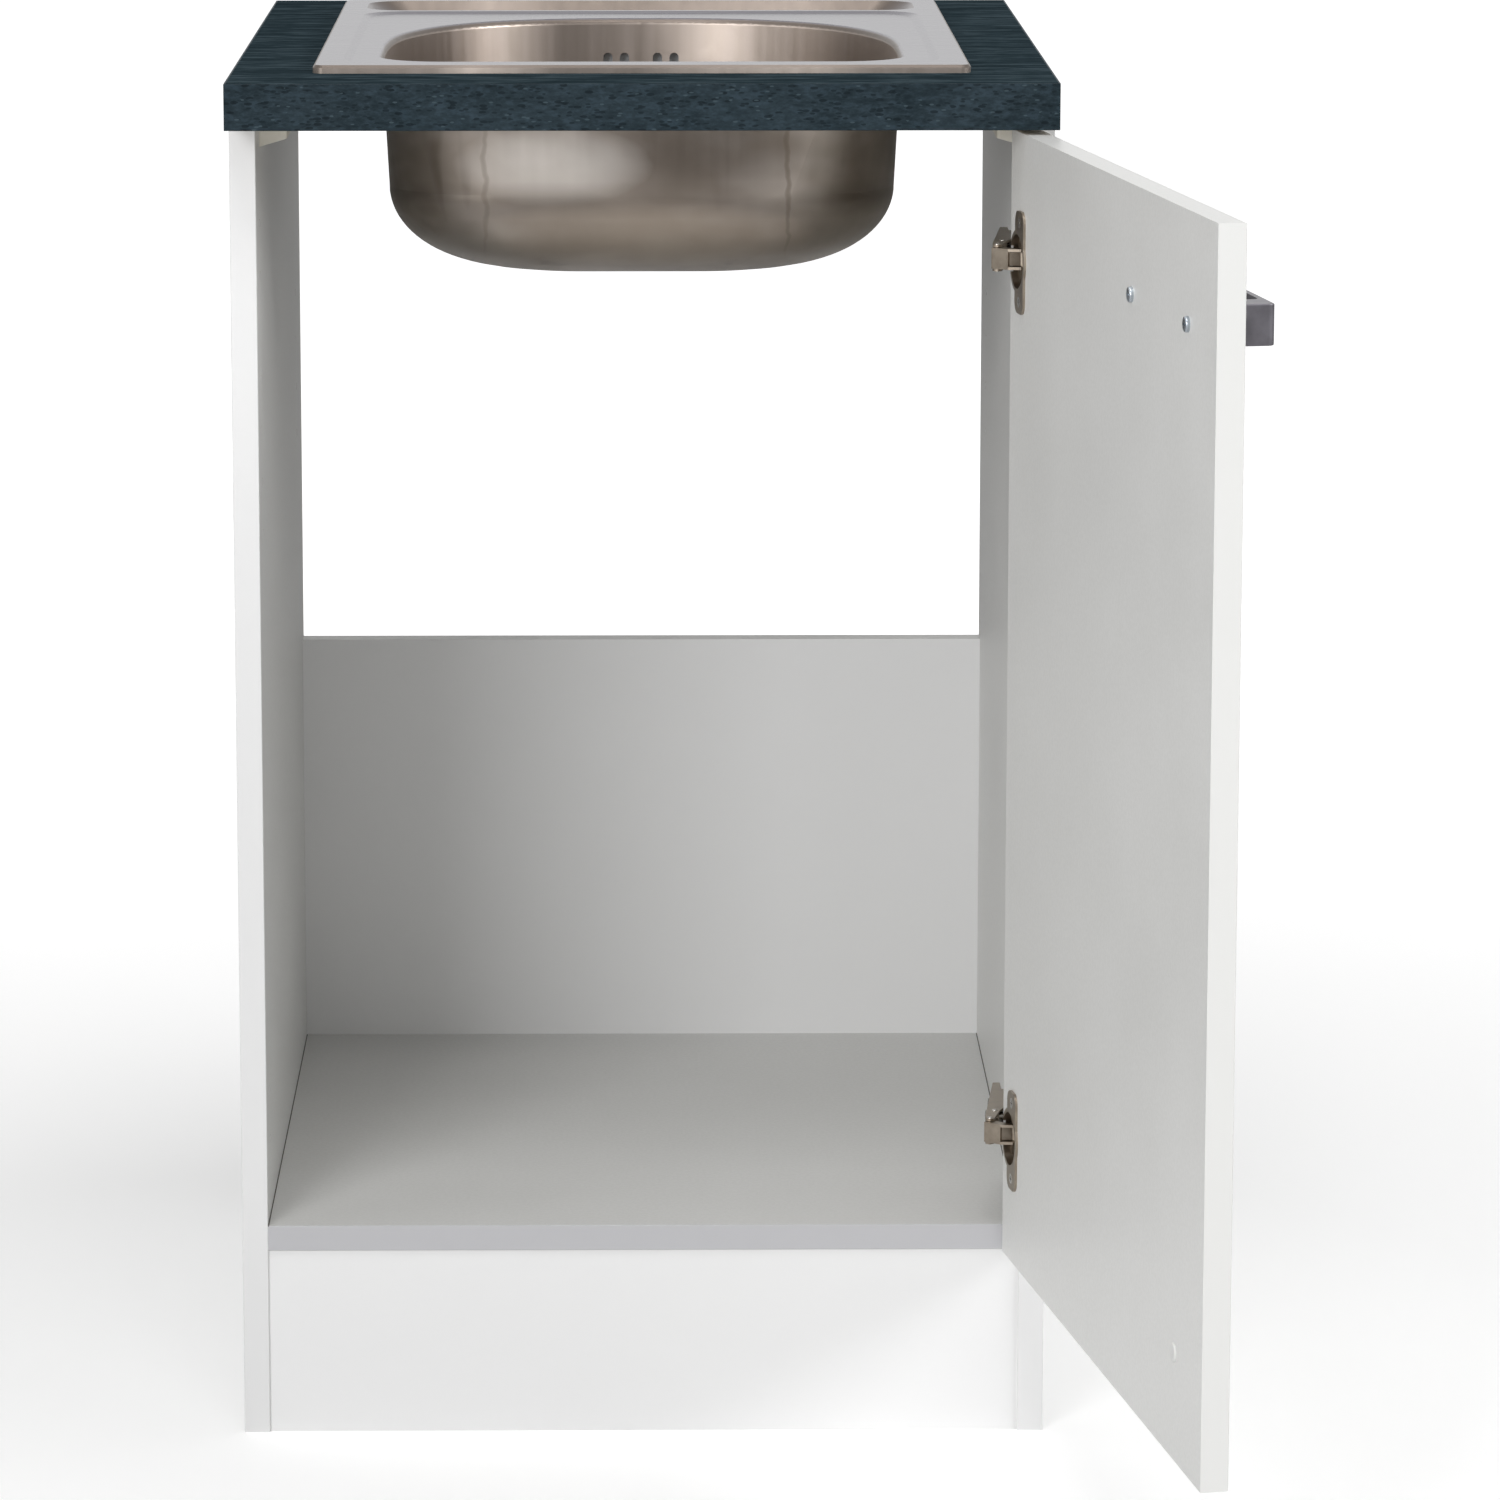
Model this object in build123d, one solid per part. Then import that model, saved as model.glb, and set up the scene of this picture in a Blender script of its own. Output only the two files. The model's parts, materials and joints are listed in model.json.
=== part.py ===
from build123d import *
import math
import os

# Kitchen sink unit: a floor-standing cabinet with one door hung on the right, a stone-effect
# worktop and an inset steel sink. It is modelled with the door standing open.
# Frame in millimetres: X to the right, Y to the back, Z up. The origin is on the floor, at the
# middle of the cabinet's width, in the plane of the side panels' front edges.

# ---- cabinet ----
CABINET_WIDTH = 500.0
CABINET_DEPTH = 515.0
BOARD = 16.0  # thickness of every cabinet panel and of the door
PLINTH_HEIGHT = 117.5
PLINTH_RECESS = 2.0
BACK_PANEL_HEIGHT = 280.0  # above the base panel; the wall side is open above it
SIDE_HEIGHT = 822.0
PANEL_BEVEL = 0.4  # along the side panels' front edges

# ---- worktop ----
WORKTOP_DEPTH = 600.0
WORKTOP_THICK = 28.0
WORKTOP_OVERHANG = 46.0  # in front of the side panels
EDGE_BAND = 1.0
CUTOUT_LIP = 10.0  # how far the sink's rim covers the worktop round the cut-out
CUTOUT_CORNER = 8.0

# ---- sink ----
SINK_WIDTH = 400.0
SINK_DEPTH = 480.0
SINK_SETBACK = 67.0  # from the worktop's front edge to the sink's rim
SINK_CORNER = 6.0
SHEET = 0.8
RIM_HEIGHT = 5.0
RIM_BEVEL = 1.6
DECK_DROP = 1.5  # the deck lies this far below the rim
DECK_SIDE_BORDER = 22.0
DECK_FRONT_BORDER = 17.0
DECK_LENGTH = 365.0
DECK_CORNER = 24.0
DECK_SLOPE = 5.0  # width of the soft step round the deck
LEDGE_DROP = 6.5  # the tap ledge at the back is pressed deeper
LEDGE_LENGTH = 68.0
LEDGE_GAP = 15.0  # between the deck and the tap ledge
LEDGE_CORNER = 20.0
LEDGE_SLOPE = 4.0  # width of its step in front and behind
LEDGE_END_SLOPE = 10.0  # and at its ends
BOWL_WIDTH = 320.0
BOWL_LENGTH = 303.5
BOWL_FRONT_BORDER = 43.5  # from the rim's front edge
BOWL_DEPTH = 139.0  # below the deck
BOWL_CORNERS = (36.0, 65.0, 50.0)  # in front: at the mouth, the foot of the walls and the floor
BOWL_STRAIGHTS = (56.0, 30.0, 2.0)  # straight part of the sides behind them, at the same levels
BOWL_BACK_POWER = 2.6  # the back's plan is an oval of this power
BOWL_BACK_ANGLES = (0, 3, 12, 27, 45, 63, 78, 87, 90)  # where the oval's points are taken
BOWL_DRAFT = 3.0  # how far the walls lean in down to the bend
BOWL_BEND_REACH = 84.0  # the bend from wall to floor, along the floor
BOWL_BEND_HEIGHT = 56.0  # the same bend, up the wall
BOWL_SECTIONS = 6  # steps in which the bend is drawn
BOWL_RIM_BEND = 4.0
OUTLET_RADIUS = 26.0
OUTLET_SEAT_RADIUS = 36.0
OUTLET_SEAT_DROP = 2.0
SLOT_WIDTH = 6.0  # overflow slots in the bowl's back wall
SLOT_HEIGHT = 16.0
SLOT_PITCH = 10.9
SLOT_TOP = 24.0  # below the rim
SLOT_PLACES = 5  # across; the middle one is left blind
HOUSING_BORDER = 5.0  # overflow housing round the slots
HOUSING_DEPTH = 11.0
HOUSING_CORNER = 6.0
SPIGOT_RADIUS = 4.5
SPIGOT_LENGTH = 9.0
SEAL_WIDTH = 6.0
SEAL_SETBACK = 3.0

# ---- sink clamps ----
RAIL_THICK = 1.5
RAIL_HEIGHT = 10.0
CLAMP_GAP = 1.0  # between a clamp and the edge of the cut-out
CLAMP_WIDTH = 20.0
CLAMP_THICK = 2.0
CLAMP_REACH = 12.0  # under the worktop
CLAMP_DROP = 5.0  # a clamp's foot below the worktop
CLAMP_SCREW = 2.0  # radius
CLAMP_SCREW_HEAD_HEIGHT = 2.4
CLAMP_PLACES = (0.2, 0.5, 0.8)  # along the sink's depth

# ---- corner brackets under the worktop ----
BRACKET_LENGTH = 45.0
BRACKET_WIDTH = 17.0
BRACKET_HEIGHT = 19.0
BRACKET_TIP_HEIGHT = 14.0
BRACKET_SETBACK = 45.0
BRACKET_WALL = 2.5
BRACKET_RIB = 1.5
BRACKET_SCREW = 2.0  # radius
BRACKET_SCREW_HEAD_HEIGHT = 2.2
BRACKET_TOP_SCREW_LENGTH = 16.0
BRACKET_SIDE_SCREW_LENGTH = 14.0

# ---- cabinet joints ----
JOINT_SCREW = 3.0  # radius
JOINT_SCREW_LENGTH = 48.0
JOINT_SCREW_HEAD = 4.5
JOINT_SCREW_HEAD_HEIGHT = 3.0
JOINT_INSET = 60.0  # from a panel's ends to its first joint screw
CAP_RADIUS = 6.5
CAP_THICK = 1.2
DOWEL_RADIUS = 4.0
DOWEL_LENGTH = 30.0

# ---- rows of shelf holes inside the side panels ----
SHELF_HOLE = 2.5  # radius
SHELF_HOLE_DEPTH = 11.0
SHELF_HOLE_PITCH = 32.0
SHELF_HOLE_STEPS = (3, 4, 5, 6)  # down from the upper hinge plate's upper screw
SHELF_ROW_FROM_BACK = 63.0  # the rear row; the front row is in line with the hinge plates' screws

# ---- door ----
DOOR_SIDE_GAP = 1.5  # between the closed door's edge and the cabinet's side
DOOR_GAP = 3.0  # between the closed door and the cabinet
DOOR_TOP_GAP = 3.0  # under the worktop
DOOR_BOTTOM_GAP = 0.5  # above the base panel's underside
DOOR_OPEN = 99.4  # degrees, as modelled
DOOR_ROUND = 0.8

# ---- handle ----
HANDLE_PITCH = 128.0  # between its two screws
HANDLE_FROM_EDGE = 62.0  # from the door's free edge and top edge to the nearer screw
HANDLE_LENGTH = 150.0
HANDLE_HEIGHT = 23.0
HANDLE_REACH = 30.0
HANDLE_BAR = 4.0
HANDLE_FOOT = 21.0
HANDLE_CORNER = 4.0
HANDLE_EDGE = 0.8
HANDLE_SCREW = 2.0  # radius
HANDLE_SCREW_HEAD = 4.5
HANDLE_THREAD = 12.0  # length of screw in the foot
SPARE_CAP_RADIUS = 5.5
SPARE_CAP_THICK = 1.4
SPARE_HOLE_RADIUS = 2.5
SPARE_HOLE_DEPTH = 11.0

# ---- concealed hinges, seen from above with the door closed ----
# "From edge" counts along the door from its hinge edge, "depth" from its inner face.
HINGE_FROM_END = 78.0  # from the door's top and bottom to a hinge's middle
CUP_FROM_EDGE = 22.5
CUP_RADIUS = 17.5
CUP_WALL = 1.0
CUP_DEPTH = 12.5
CUP_RIM_RADIUS = 19.0
CUP_NOTCH = 16.0
FLANGE_HEIGHT = 62.0
FLANGE_WIDTH = 22.0
FLANGE_OFFSET = 6.0  # the flange's middle lies this far beyond the cup's centre
FLANGE_THICK = 1.6
FLANGE_CORNER = 7.0
FLANGE_PITCH = 48.0
CUP_SCREW = 1.75  # radius
CUP_SCREW_LENGTH = 13.0
REAR_PIVOT_FROM_PANEL = 15.1  # fixed pivot of the rear link, from the side panel's inner face
REAR_PIVOT_DEPTH = 9.7  # behind the side panel's front edge
REAR_CUP_FROM_EDGE = 9.6  # the rear link's pivot in the cup
REAR_CUP_DEPTH = 5.1
REAR_LINK_TURN = -23.7  # degrees, from the closed door to the door as modelled
REAR_LINK_BENDS = [(0.4, -13.7), (2.7, -25.0)]  # from the fixed pivot, as modelled
FRONT_PIVOT_FROM_PANEL = 19.0  # fixed pivot of the front link
FRONT_PIVOT_REACH = 8.6  # in front of the side panel's front edge
FRONT_END_FROM_EDGE = 16.7  # the front link's end in the cup
FRONT_END_DEPTH = 2.9
FRONT_LINK_TURN = -45.9  # degrees, from the closed door to the door as modelled
PIN_RADIUS = 1.25
PIN_CLEARANCE = 0.05
REAR_LINK_HEIGHT = 8.0
REAR_LINK_WIDTH = 2.5
REAR_BARREL_RADIUS = 2.8
REAR_EYE_RADIUS = 2.5
FRONT_LINK_HEIGHT = 12.6
FRONT_LINK_CHEEK = 1.7
FRONT_EYE_RADIUS = 2.4
FRONT_END_RADIUS = 1.5
FRONT_WEB_THICK = 1.6
FRONT_WEB_OFFSET = 4.9  # from the link's centre line to the web's outer face
FRONT_WEB_START = -1.0  # along the link from its fixed pivot
FRONT_WEB_END = 11.0
LINK_GAP = 0.3  # between the links and the arm's cheeks
ARM_SHEET = 1.5
ARM_START = -2.5  # the arm's web starts this far behind the side panel's front edge
ARM_LENGTH = 82.5
ARM_FRONT_PROUD = 21.5  # of the side panel's inner face
ARM_REAR_PROUD = 12.5
ARM_REST = 8.0  # the arm's cheeks end this far off the side panel
ARM_NOSE = 2.9
ARM_EYE = 3.2
PLATE_HEIGHT = 50.0
PLATE_LENGTH = 44.0
PLATE_START = 20.0
PLATE_THICK = 2.5
PLATE_CORNER = 5.0
PLATE_PITCH = 32.0
PLATE_SCREW_DEPTH = 37.0  # from the side panel's front edge
PLATE_SCREW_LENGTH = 14.0
ARM_SCREW = 2.5  # radius
ARM_SCREW_HEAD_HEIGHT = 1.8
ADJUSTING_DEPTH = 28.0
FIXING_DEPTH = 58.0

# ---- worked out from the values above ----
INNER_X = CABINET_WIDTH / 2 - BOARD
BASE_TOP = PLINTH_HEIGHT + BOARD
BACK_PANEL_TOP = BASE_TOP + BACK_PANEL_HEIGHT
TOP = SIDE_HEIGHT + WORKTOP_THICK
WORKTOP_BACK = WORKTOP_DEPTH - WORKTOP_OVERHANG
SINK_FRONT = SINK_SETBACK - WORKTOP_OVERHANG
SINK_BACK = SINK_FRONT + SINK_DEPTH
SINK_TOP = TOP + RIM_HEIGHT
DECK_LEVEL = SINK_TOP - DECK_DROP
BOWL_FRONT = SINK_FRONT + BOWL_FRONT_BORDER
BOWL_BACK = BOWL_FRONT + BOWL_LENGTH
BOWL_MIDDLE = (BOWL_FRONT + BOWL_BACK) / 2
BOWL_FLOOR = DECK_LEVEL - BOWL_DEPTH
BEND_LEVEL = BOWL_FLOOR + BOWL_BEND_HEIGHT
CLAMP_X = SINK_WIDTH / 2 - CUTOUT_LIP - CLAMP_GAP - CLAMP_THICK
DOOR_WIDTH = CABINET_WIDTH - 2 * DOOR_SIDE_GAP
DOOR_EDGE = DOOR_WIDTH / 2
DOOR_TOP = SIDE_HEIGHT - DOOR_TOP_GAP
DOOR_BOTTOM = PLINTH_HEIGHT + DOOR_BOTTOM_GAP
HINGE_LEVELS = {"upper": DOOR_TOP - HINGE_FROM_END, "lower": DOOR_BOTTOM + HINGE_FROM_END}
ARM_HALF = FRONT_LINK_HEIGHT / 2 + LINK_GAP + ARM_SHEET


# ---- small helpers ----
def block(low, high):
    """A box from its lowest to its highest corner."""
    size = [b - a for a, b in zip(low, high)]
    middle = [(a + b) / 2 for a, b in zip(low, high)]
    return Pos(*middle) * Box(*size)


def span(x0, x1, y0, y1, z0, z1):
    """A box between two places on each axis, given in either order."""
    pairs = [sorted(pair) for pair in ((x0, x1), (y0, y1), (z0, z1))]
    return block([pair[0] for pair in pairs], [pair[1] for pair in pairs])


def rounded(low, high, radius):
    """A box whose upright edges are rounded."""
    return fillet(block(low, high).edges().filter_by(Axis.Z), radius)


def upright(centre, radius, bottom, top):
    """A cylinder that stands on Z."""
    return Pos(centre[0], centre[1], (bottom + top) / 2) * Cylinder(radius, top - bottom)


def raised(plan, bottom, top):
    """A plan outline lifted to a solid between two levels."""
    return Pos(0, 0, bottom) * extrude(plan, top - bottom, dir=(0, 0, 1))


def centred(plan, level, height):
    """A plan outline lifted to a solid of this height about a level."""
    return raised(plan, level - height / 2, level + height / 2)


def stroke(points, width):
    """Plan outline of a flat bar that follows a line of points, with round ends."""
    plan = Sketch() + [Pos(x, y) * Circle(width / 2) for x, y in points]
    for (x0, y0), (x1, y1) in zip(points, points[1:]):
        angle = math.degrees(math.atan2(y1 - y0, x1 - x0))
        bar = Rectangle(math.hypot(x1 - x0, y1 - y0), width)
        plan += Pos((x0 + x1) / 2, (y0 + y1) / 2) * Rot(0, 0, angle) * bar
    return plan


def disc(centre, radius):
    return Pos(centre[0], centre[1]) * Circle(radius)


def spin(point, centre, angle):
    """A plan point turned about another."""
    x, y = point[0] - centre[0], point[1] - centre[1]
    c, s = math.cos(math.radians(angle)), math.sin(math.radians(angle))
    return (centre[0] + c * x - s * y, centre[1] + s * x + c * y)


def aim(shape, origin, direction):
    """A shape made along +Z, moved to a point and aimed along a direction. Its Y stays upright."""
    x, y, z = direction
    across = (1, 0, 0) if z else (-y, x, 0)
    return Plane(origin=origin, x_dir=across, z_dir=direction) * shape


def group(solids):
    """Separate solids kept together in one piece."""
    return Part() + list(solids)


def minus(shape, tools):
    """A shape with each of the tools cut out of it."""
    for tool in tools:
        shape -= tool
    return shape


def cross_recess(head, height):
    return Box(head * 1.1, head * 0.24, height) + Box(head * 0.24, head * 1.1, height)


def screw(radius, length, head, height):
    """A pan-head screw along -Z from its seat at Z = 0."""
    cap = Pos(0, 0, height / 2) * Cylinder(head, height)
    cap = fillet(cap.edges().sort_by(Axis.Z)[-1:], height * 0.45)
    shank = Pos(0, 0, -length / 2) * Cylinder(radius, length)
    return cap + shank - Pos(0, 0, height) * cross_recess(head, height)


def sunk_screw(radius, length, head, height, hole=False):
    """A countersunk screw along -Z from its flat top at Z = 0, or the hole that it fills."""
    solid = Pos(0, 0, -height / 2) * Cone(radius, head, height)
    solid += Pos(0, 0, -length / 2) * Cylinder(radius, length)
    return solid if hole else solid - cross_recess(head, height)


# ---- joints of the cabinet ----
def joint_places():
    """Depth and height at which joint screws enter a side: base, back panel and plinth."""
    base_level = PLINTH_HEIGHT + BOARD / 2
    back_depth = CABINET_DEPTH - BOARD / 2
    return [
        (JOINT_INSET, base_level),
        (CABINET_DEPTH - 2 * JOINT_INSET, base_level),
        (back_depth, BASE_TOP + JOINT_INSET),
        (back_depth, BACK_PANEL_TOP - JOINT_INSET),
        (PLINTH_RECESS + BOARD / 2, JOINT_INSET),
    ]


def dowel_places():
    base_level = PLINTH_HEIGHT + BOARD / 2
    return [
        (2 * JOINT_INSET, base_level),
        (CABINET_DEPTH - 3 * JOINT_INSET, base_level),
        (CABINET_DEPTH - BOARD / 2, (BASE_TOP + BACK_PANEL_TOP) / 2),
    ]


def both_sides(shape, distance, places):
    """The shape aimed outwards on both sides at each depth and height."""
    return [
        aim(shape, (side * distance, y, z), (side, 0, 0)) for side in (-1, 1) for y, z in places
    ]


def joint_screws(hole=False):
    one = sunk_screw(JOINT_SCREW, JOINT_SCREW_LENGTH, JOINT_SCREW_HEAD, JOINT_SCREW_HEAD_HEIGHT, hole)
    return both_sides(one, CABINET_WIDTH / 2 - CAP_THICK, joint_places())


def cover_caps():
    """Plastic discs over the joint screws, flush with the side panels."""
    one = Pos(0, 0, -CAP_THICK / 2) * Cylinder(CAP_RADIUS, CAP_THICK)
    return both_sides(one, CABINET_WIDTH / 2, joint_places())


def dowels():
    one = Cylinder(DOWEL_RADIUS, DOWEL_LENGTH)
    one = chamfer(one.edges().filter_by(GeomType.CIRCLE), DOWEL_RADIUS / 5)
    return both_sides(one, INNER_X, dowel_places())


# ---- worktop ----
def cutout():
    half = SINK_WIDTH / 2 - CUTOUT_LIP
    return rounded(
        (-half, SINK_FRONT + CUTOUT_LIP, SIDE_HEIGHT - 1),
        (half, SINK_BACK - CUTOUT_LIP, TOP + 1),
        CUTOUT_CORNER,
    )


def worktop(screws):
    half = CABINET_WIDTH / 2 - EDGE_BAND
    front = EDGE_BAND - WORKTOP_OVERHANG
    board = block((-half, front, SIDE_HEIGHT), (half, WORKTOP_BACK, TOP))
    return minus(board - cutout(), screws)


def worktop_front_band():
    half = CABINET_WIDTH / 2
    front = -WORKTOP_OVERHANG
    band = block((-half, front, SIDE_HEIGHT), (half, front + EDGE_BAND, TOP))
    return chamfer(band.edges().filter_by(Axis.X).group_by(Axis.Y)[0], EDGE_BAND * 0.4)


def worktop_side_band(side):
    outer = side * CABINET_WIDTH / 2
    front = EDGE_BAND - WORKTOP_OVERHANG
    return span(outer, outer - side * EDGE_BAND, front, WORKTOP_BACK, SIDE_HEIGHT, TOP)


# ---- corner brackets ----
CORNERS = {
    "front_left": (-1, 1),
    "front_right": (1, 1),
    "rear_left": (-1, -1),
    "rear_right": (1, -1),
}


def bracket_corner(side, inward):
    """Where a bracket starts at the panel. Inward is +1 for a front bracket, -1 for a rear one."""
    start = BRACKET_SETBACK if inward > 0 else CABINET_DEPTH - BRACKET_SETBACK
    return side * INNER_X, start


def bracket_top_screws(side, inward):
    x, y = bracket_corner(side, inward)
    one = screw(BRACKET_SCREW, BRACKET_TOP_SCREW_LENGTH, BRACKET_SCREW * 1.8, BRACKET_SCREW_HEAD_HEIGHT)
    middle = x - side * BRACKET_WIDTH / 2
    level = SIDE_HEIGHT - BRACKET_WALL
    depths = [y + inward * BRACKET_LENGTH * share for share in (0.22, 0.78)]
    return [aim(one, (middle, depth, level), (0, 0, -1)) for depth in depths]


def bracket_side_screws(side, inward):
    x, y = bracket_corner(side, inward)
    one = screw(BRACKET_SCREW, BRACKET_SIDE_SCREW_LENGTH, BRACKET_SCREW * 1.8, BRACKET_SCREW_HEAD_HEIGHT)
    seat = (x - side * BRACKET_WALL, y + inward * BRACKET_LENGTH / 2, SIDE_HEIGHT - BRACKET_HEIGHT / 2)
    return [aim(one, seat, (-side, 0, 0))]


def bracket(side, inward):
    """A hollow plastic corner block with two cross ribs, open below."""
    width, wall = BRACKET_WIDTH, BRACKET_WALL
    profile = Polygon(
        (0, 0), (-width, 0), (-width, -BRACKET_TIP_HEIGHT), (0, -BRACKET_HEIGHT), align=None
    )
    shape = extrude(Plane.XZ * profile, -BRACKET_LENGTH)
    shape = fillet(shape.edges().filter_by(Axis.Z).group_by(Axis.X)[0], wall * 0.8)
    hollow = span(-width + wall, -wall, wall, BRACKET_LENGTH - wall, -BRACKET_HEIGHT, -wall)
    for share in (0.36, 0.64):
        place = BRACKET_LENGTH * share
        hollow -= span(-width, 0, place - BRACKET_RIB / 2, place + BRACKET_RIB / 2, -BRACKET_HEIGHT, 0)
    shape -= hollow
    if side < 0:
        shape = mirror(shape, Plane.YZ)
    if inward < 0:
        shape = mirror(shape, Plane.XZ)
    x, y = bracket_corner(side, inward)
    shape = Pos(x, y, SIDE_HEIGHT) * shape
    return minus(shape, bracket_top_screws(side, inward) + bracket_side_screws(side, inward))


# ---- sink ----
def at_inset(values, inset):
    """A size given at the mouth, the foot of the walls and the floor, at an inset between them."""
    mouth, foot, floor = values
    if inset <= BOWL_DRAFT:
        return mouth + (foot - mouth) * inset / BOWL_DRAFT
    return foot + (floor - foot) * (inset - BOWL_DRAFT) / BOWL_BEND_REACH


def bowl_outline(inset, out, level):
    """The bowl's plan: round front corners, short straight sides and an oval back."""
    corner = at_inset(BOWL_CORNERS, inset)
    straight = at_inset(BOWL_STRAIGHTS, inset)
    half = BOWL_WIDTH / 2 - inset + out
    front, back = BOWL_FRONT + inset - out, BOWL_BACK - inset + out
    side_start = BOWL_FRONT + inset + corner
    side_end = side_start + straight
    radius = corner + out
    oval = []
    for angle in BOWL_BACK_ANGLES:
        c, s = math.cos(math.radians(angle)), math.sin(math.radians(angle))
        x = half * max(c, 0) ** (2 / BOWL_BACK_POWER)
        y = side_end + (back - side_end) * s ** (2 / BOWL_BACK_POWER)
        oval.append((0 if angle == 90 else x, y))
    edges = [
        Line((radius - half, front), (half - radius, front)),
        CenterArc((half - radius, side_start), radius, -90, 90),
        Line((half, side_start), (half, side_end)),
        Spline(*oval, tangents=[(0, 1), (-1, 0)]),
        Spline(*[(-x, y) for x, y in reversed(oval)], tangents=[(-1, 0), (0, -1)]),
        Line((-half, side_end), (-half, side_start)),
        CenterArc((radius - half, side_start), radius, 180, 90),
    ]
    return Pos(0, 0, level) * make_face(edges)


def bowl_space(grow):
    """The bowl's air space, or with grow set to the sheet's thickness its outer skin."""
    walls = loft([bowl_outline(0, grow, SINK_TOP), bowl_outline(BOWL_DRAFT, grow, BEND_LEVEL)], ruled=True)
    sections = []
    for step in range(BOWL_SECTIONS + 1):
        angle = math.radians(90 * step / BOWL_SECTIONS)
        along = BOWL_BEND_REACH * math.sin(angle)
        up = BOWL_BEND_HEIGHT * math.cos(angle)
        out, down = grow * up / math.hypot(along, up), grow * along / math.hypot(along, up)
        inset = BOWL_DRAFT + BOWL_BEND_REACH * (1 - math.cos(angle))
        level = BEND_LEVEL - BOWL_BEND_HEIGHT * math.sin(angle)
        sections.append(bowl_outline(inset, out, level - down))
    return walls + loft(sections)


def pressed_step(front, length, corner, slopes, drop, grow):
    """The air space over a flat place pressed down from the rim, with sloping steps round it."""
    across = SINK_WIDTH - 2 * DECK_SIDE_BORDER + 2 * (DECK_SLOPE - slopes[0])
    wider = [grow * (math.hypot(slope, drop) - slope) / drop for slope in slopes]
    low = RectangleRounded(across + 2 * wider[0], length + 2 * wider[1], corner)
    wide, long = across + 2 * (wider[0] + slopes[0]), length + 2 * (wider[1] + slopes[1])
    high = RectangleRounded(wide, long, corner + slopes[1])
    middle = front + length / 2
    outlines = [Pos(0, middle, SINK_TOP - drop - grow) * low, Pos(0, middle, SINK_TOP - grow) * high]
    return loft(outlines, ruled=True)


def deck_space(grow):
    front = SINK_FRONT + DECK_FRONT_BORDER
    slopes = (DECK_SLOPE, DECK_SLOPE)
    return pressed_step(front, DECK_LENGTH, DECK_CORNER, slopes, DECK_DROP, grow)


def ledge_space(grow):
    front = SINK_FRONT + DECK_FRONT_BORDER + DECK_LENGTH + LEDGE_GAP
    slopes = (LEDGE_END_SLOPE, LEDGE_SLOPE)
    return pressed_step(front, LEDGE_LENGTH, LEDGE_CORNER, slopes, LEDGE_DROP, grow)


def at_mouth(edge, grow):
    """True for an edge where the bowl's wall meets the deck."""
    point = edge.center()
    level = abs(edge.bounding_box().max.Z - DECK_LEVEL + grow) < 0.01
    across = abs(point.X) < BOWL_WIDTH / 2 + grow + 0.01
    along = abs(point.Y - BOWL_MIDDLE) < BOWL_LENGTH / 2 + grow + 0.01
    return level and across and along


def pressed_space(grow):
    """Everything pressed below the rim: deck, bowl with its rolled edge, and tap ledge."""
    space = deck_space(grow) + bowl_space(grow)
    mouth = [edge for edge in space.edges() if at_mouth(edge, grow)]
    return fillet(mouth, BOWL_RIM_BEND - grow) + ledge_space(grow)


def overflow_slots():
    plan = SlotOverall(SLOT_HEIGHT, SLOT_WIDTH, rotation=90)
    one = extrude(Plane.XZ * plan, SLOT_HEIGHT, both=True)
    middle = SLOT_PLACES // 2
    level = SINK_TOP - SLOT_TOP - SLOT_HEIGHT / 2
    steps = [step - middle for step in range(SLOT_PLACES) if step != middle]
    return [Pos(step * SLOT_PITCH, BOWL_BACK, level) * one for step in steps]


def sink():
    half = SINK_WIDTH / 2
    rim = rounded((-half, SINK_FRONT, TOP), (half, SINK_BACK, SINK_TOP), SINK_CORNER)
    rim = chamfer(rim.faces().sort_by(Axis.Z)[-1].edges(), RIM_BEVEL)
    under = rounded(
        (-half + SHEET, SINK_FRONT + SHEET, TOP - 1),
        (half - SHEET, SINK_BACK - SHEET, SINK_TOP - SHEET),
        SINK_CORNER - SHEET,
    )
    under = chamfer(under.faces().sort_by(Axis.Z)[-1].edges(), RIM_BEVEL)
    outlet = (0, BOWL_MIDDLE)
    seat = BOWL_FLOOR - OUTLET_SEAT_DROP
    sheet = rim - under + pressed_space(SHEET)
    sheet += upright(outlet, OUTLET_SEAT_RADIUS + SHEET, seat - SHEET, BOWL_FLOOR)
    sheet -= pressed_space(0)
    sheet -= upright(outlet, OUTLET_SEAT_RADIUS, seat, BOWL_FLOOR + 1)
    sheet -= upright(outlet, OUTLET_RADIUS, seat - 1 - SHEET, BOWL_FLOOR)
    return minus(sheet, overflow_slots())


def overflow_housing():
    """A pressed cover welded over the slots on the bowl's back, with a spigot below."""
    half = SLOT_PITCH * SLOT_PLACES / 2 + HOUSING_BORDER
    top = SINK_TOP - SLOT_TOP + HOUSING_BORDER
    bottom = top - SLOT_HEIGHT - 2 * HOUSING_BORDER
    wall, back = BOWL_BACK + SHEET, BOWL_BACK + SHEET + HOUSING_DEPTH
    shell = block((-half, BOWL_BACK - HOUSING_DEPTH, bottom), (half, back, top))
    shell = fillet(shell.edges().filter_by(Axis.Z).group_by(Axis.Y)[-1], HOUSING_CORNER)
    inner = block(
        (SHEET - half, BOWL_BACK - HOUSING_DEPTH, bottom + SHEET), (half - SHEET, back - SHEET, top - SHEET)
    )
    inner = fillet(inner.edges().filter_by(Axis.Z).group_by(Axis.Y)[-1], HOUSING_CORNER - SHEET)
    middle = (0, (wall + back) / 2)
    shell += upright(middle, SPIGOT_RADIUS, bottom - SPIGOT_LENGTH, bottom)
    shell -= upright(middle, SPIGOT_RADIUS - SHEET, bottom - SPIGOT_LENGTH, bottom + 2 * SHEET)
    return shell - inner - bowl_space(SHEET)


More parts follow.
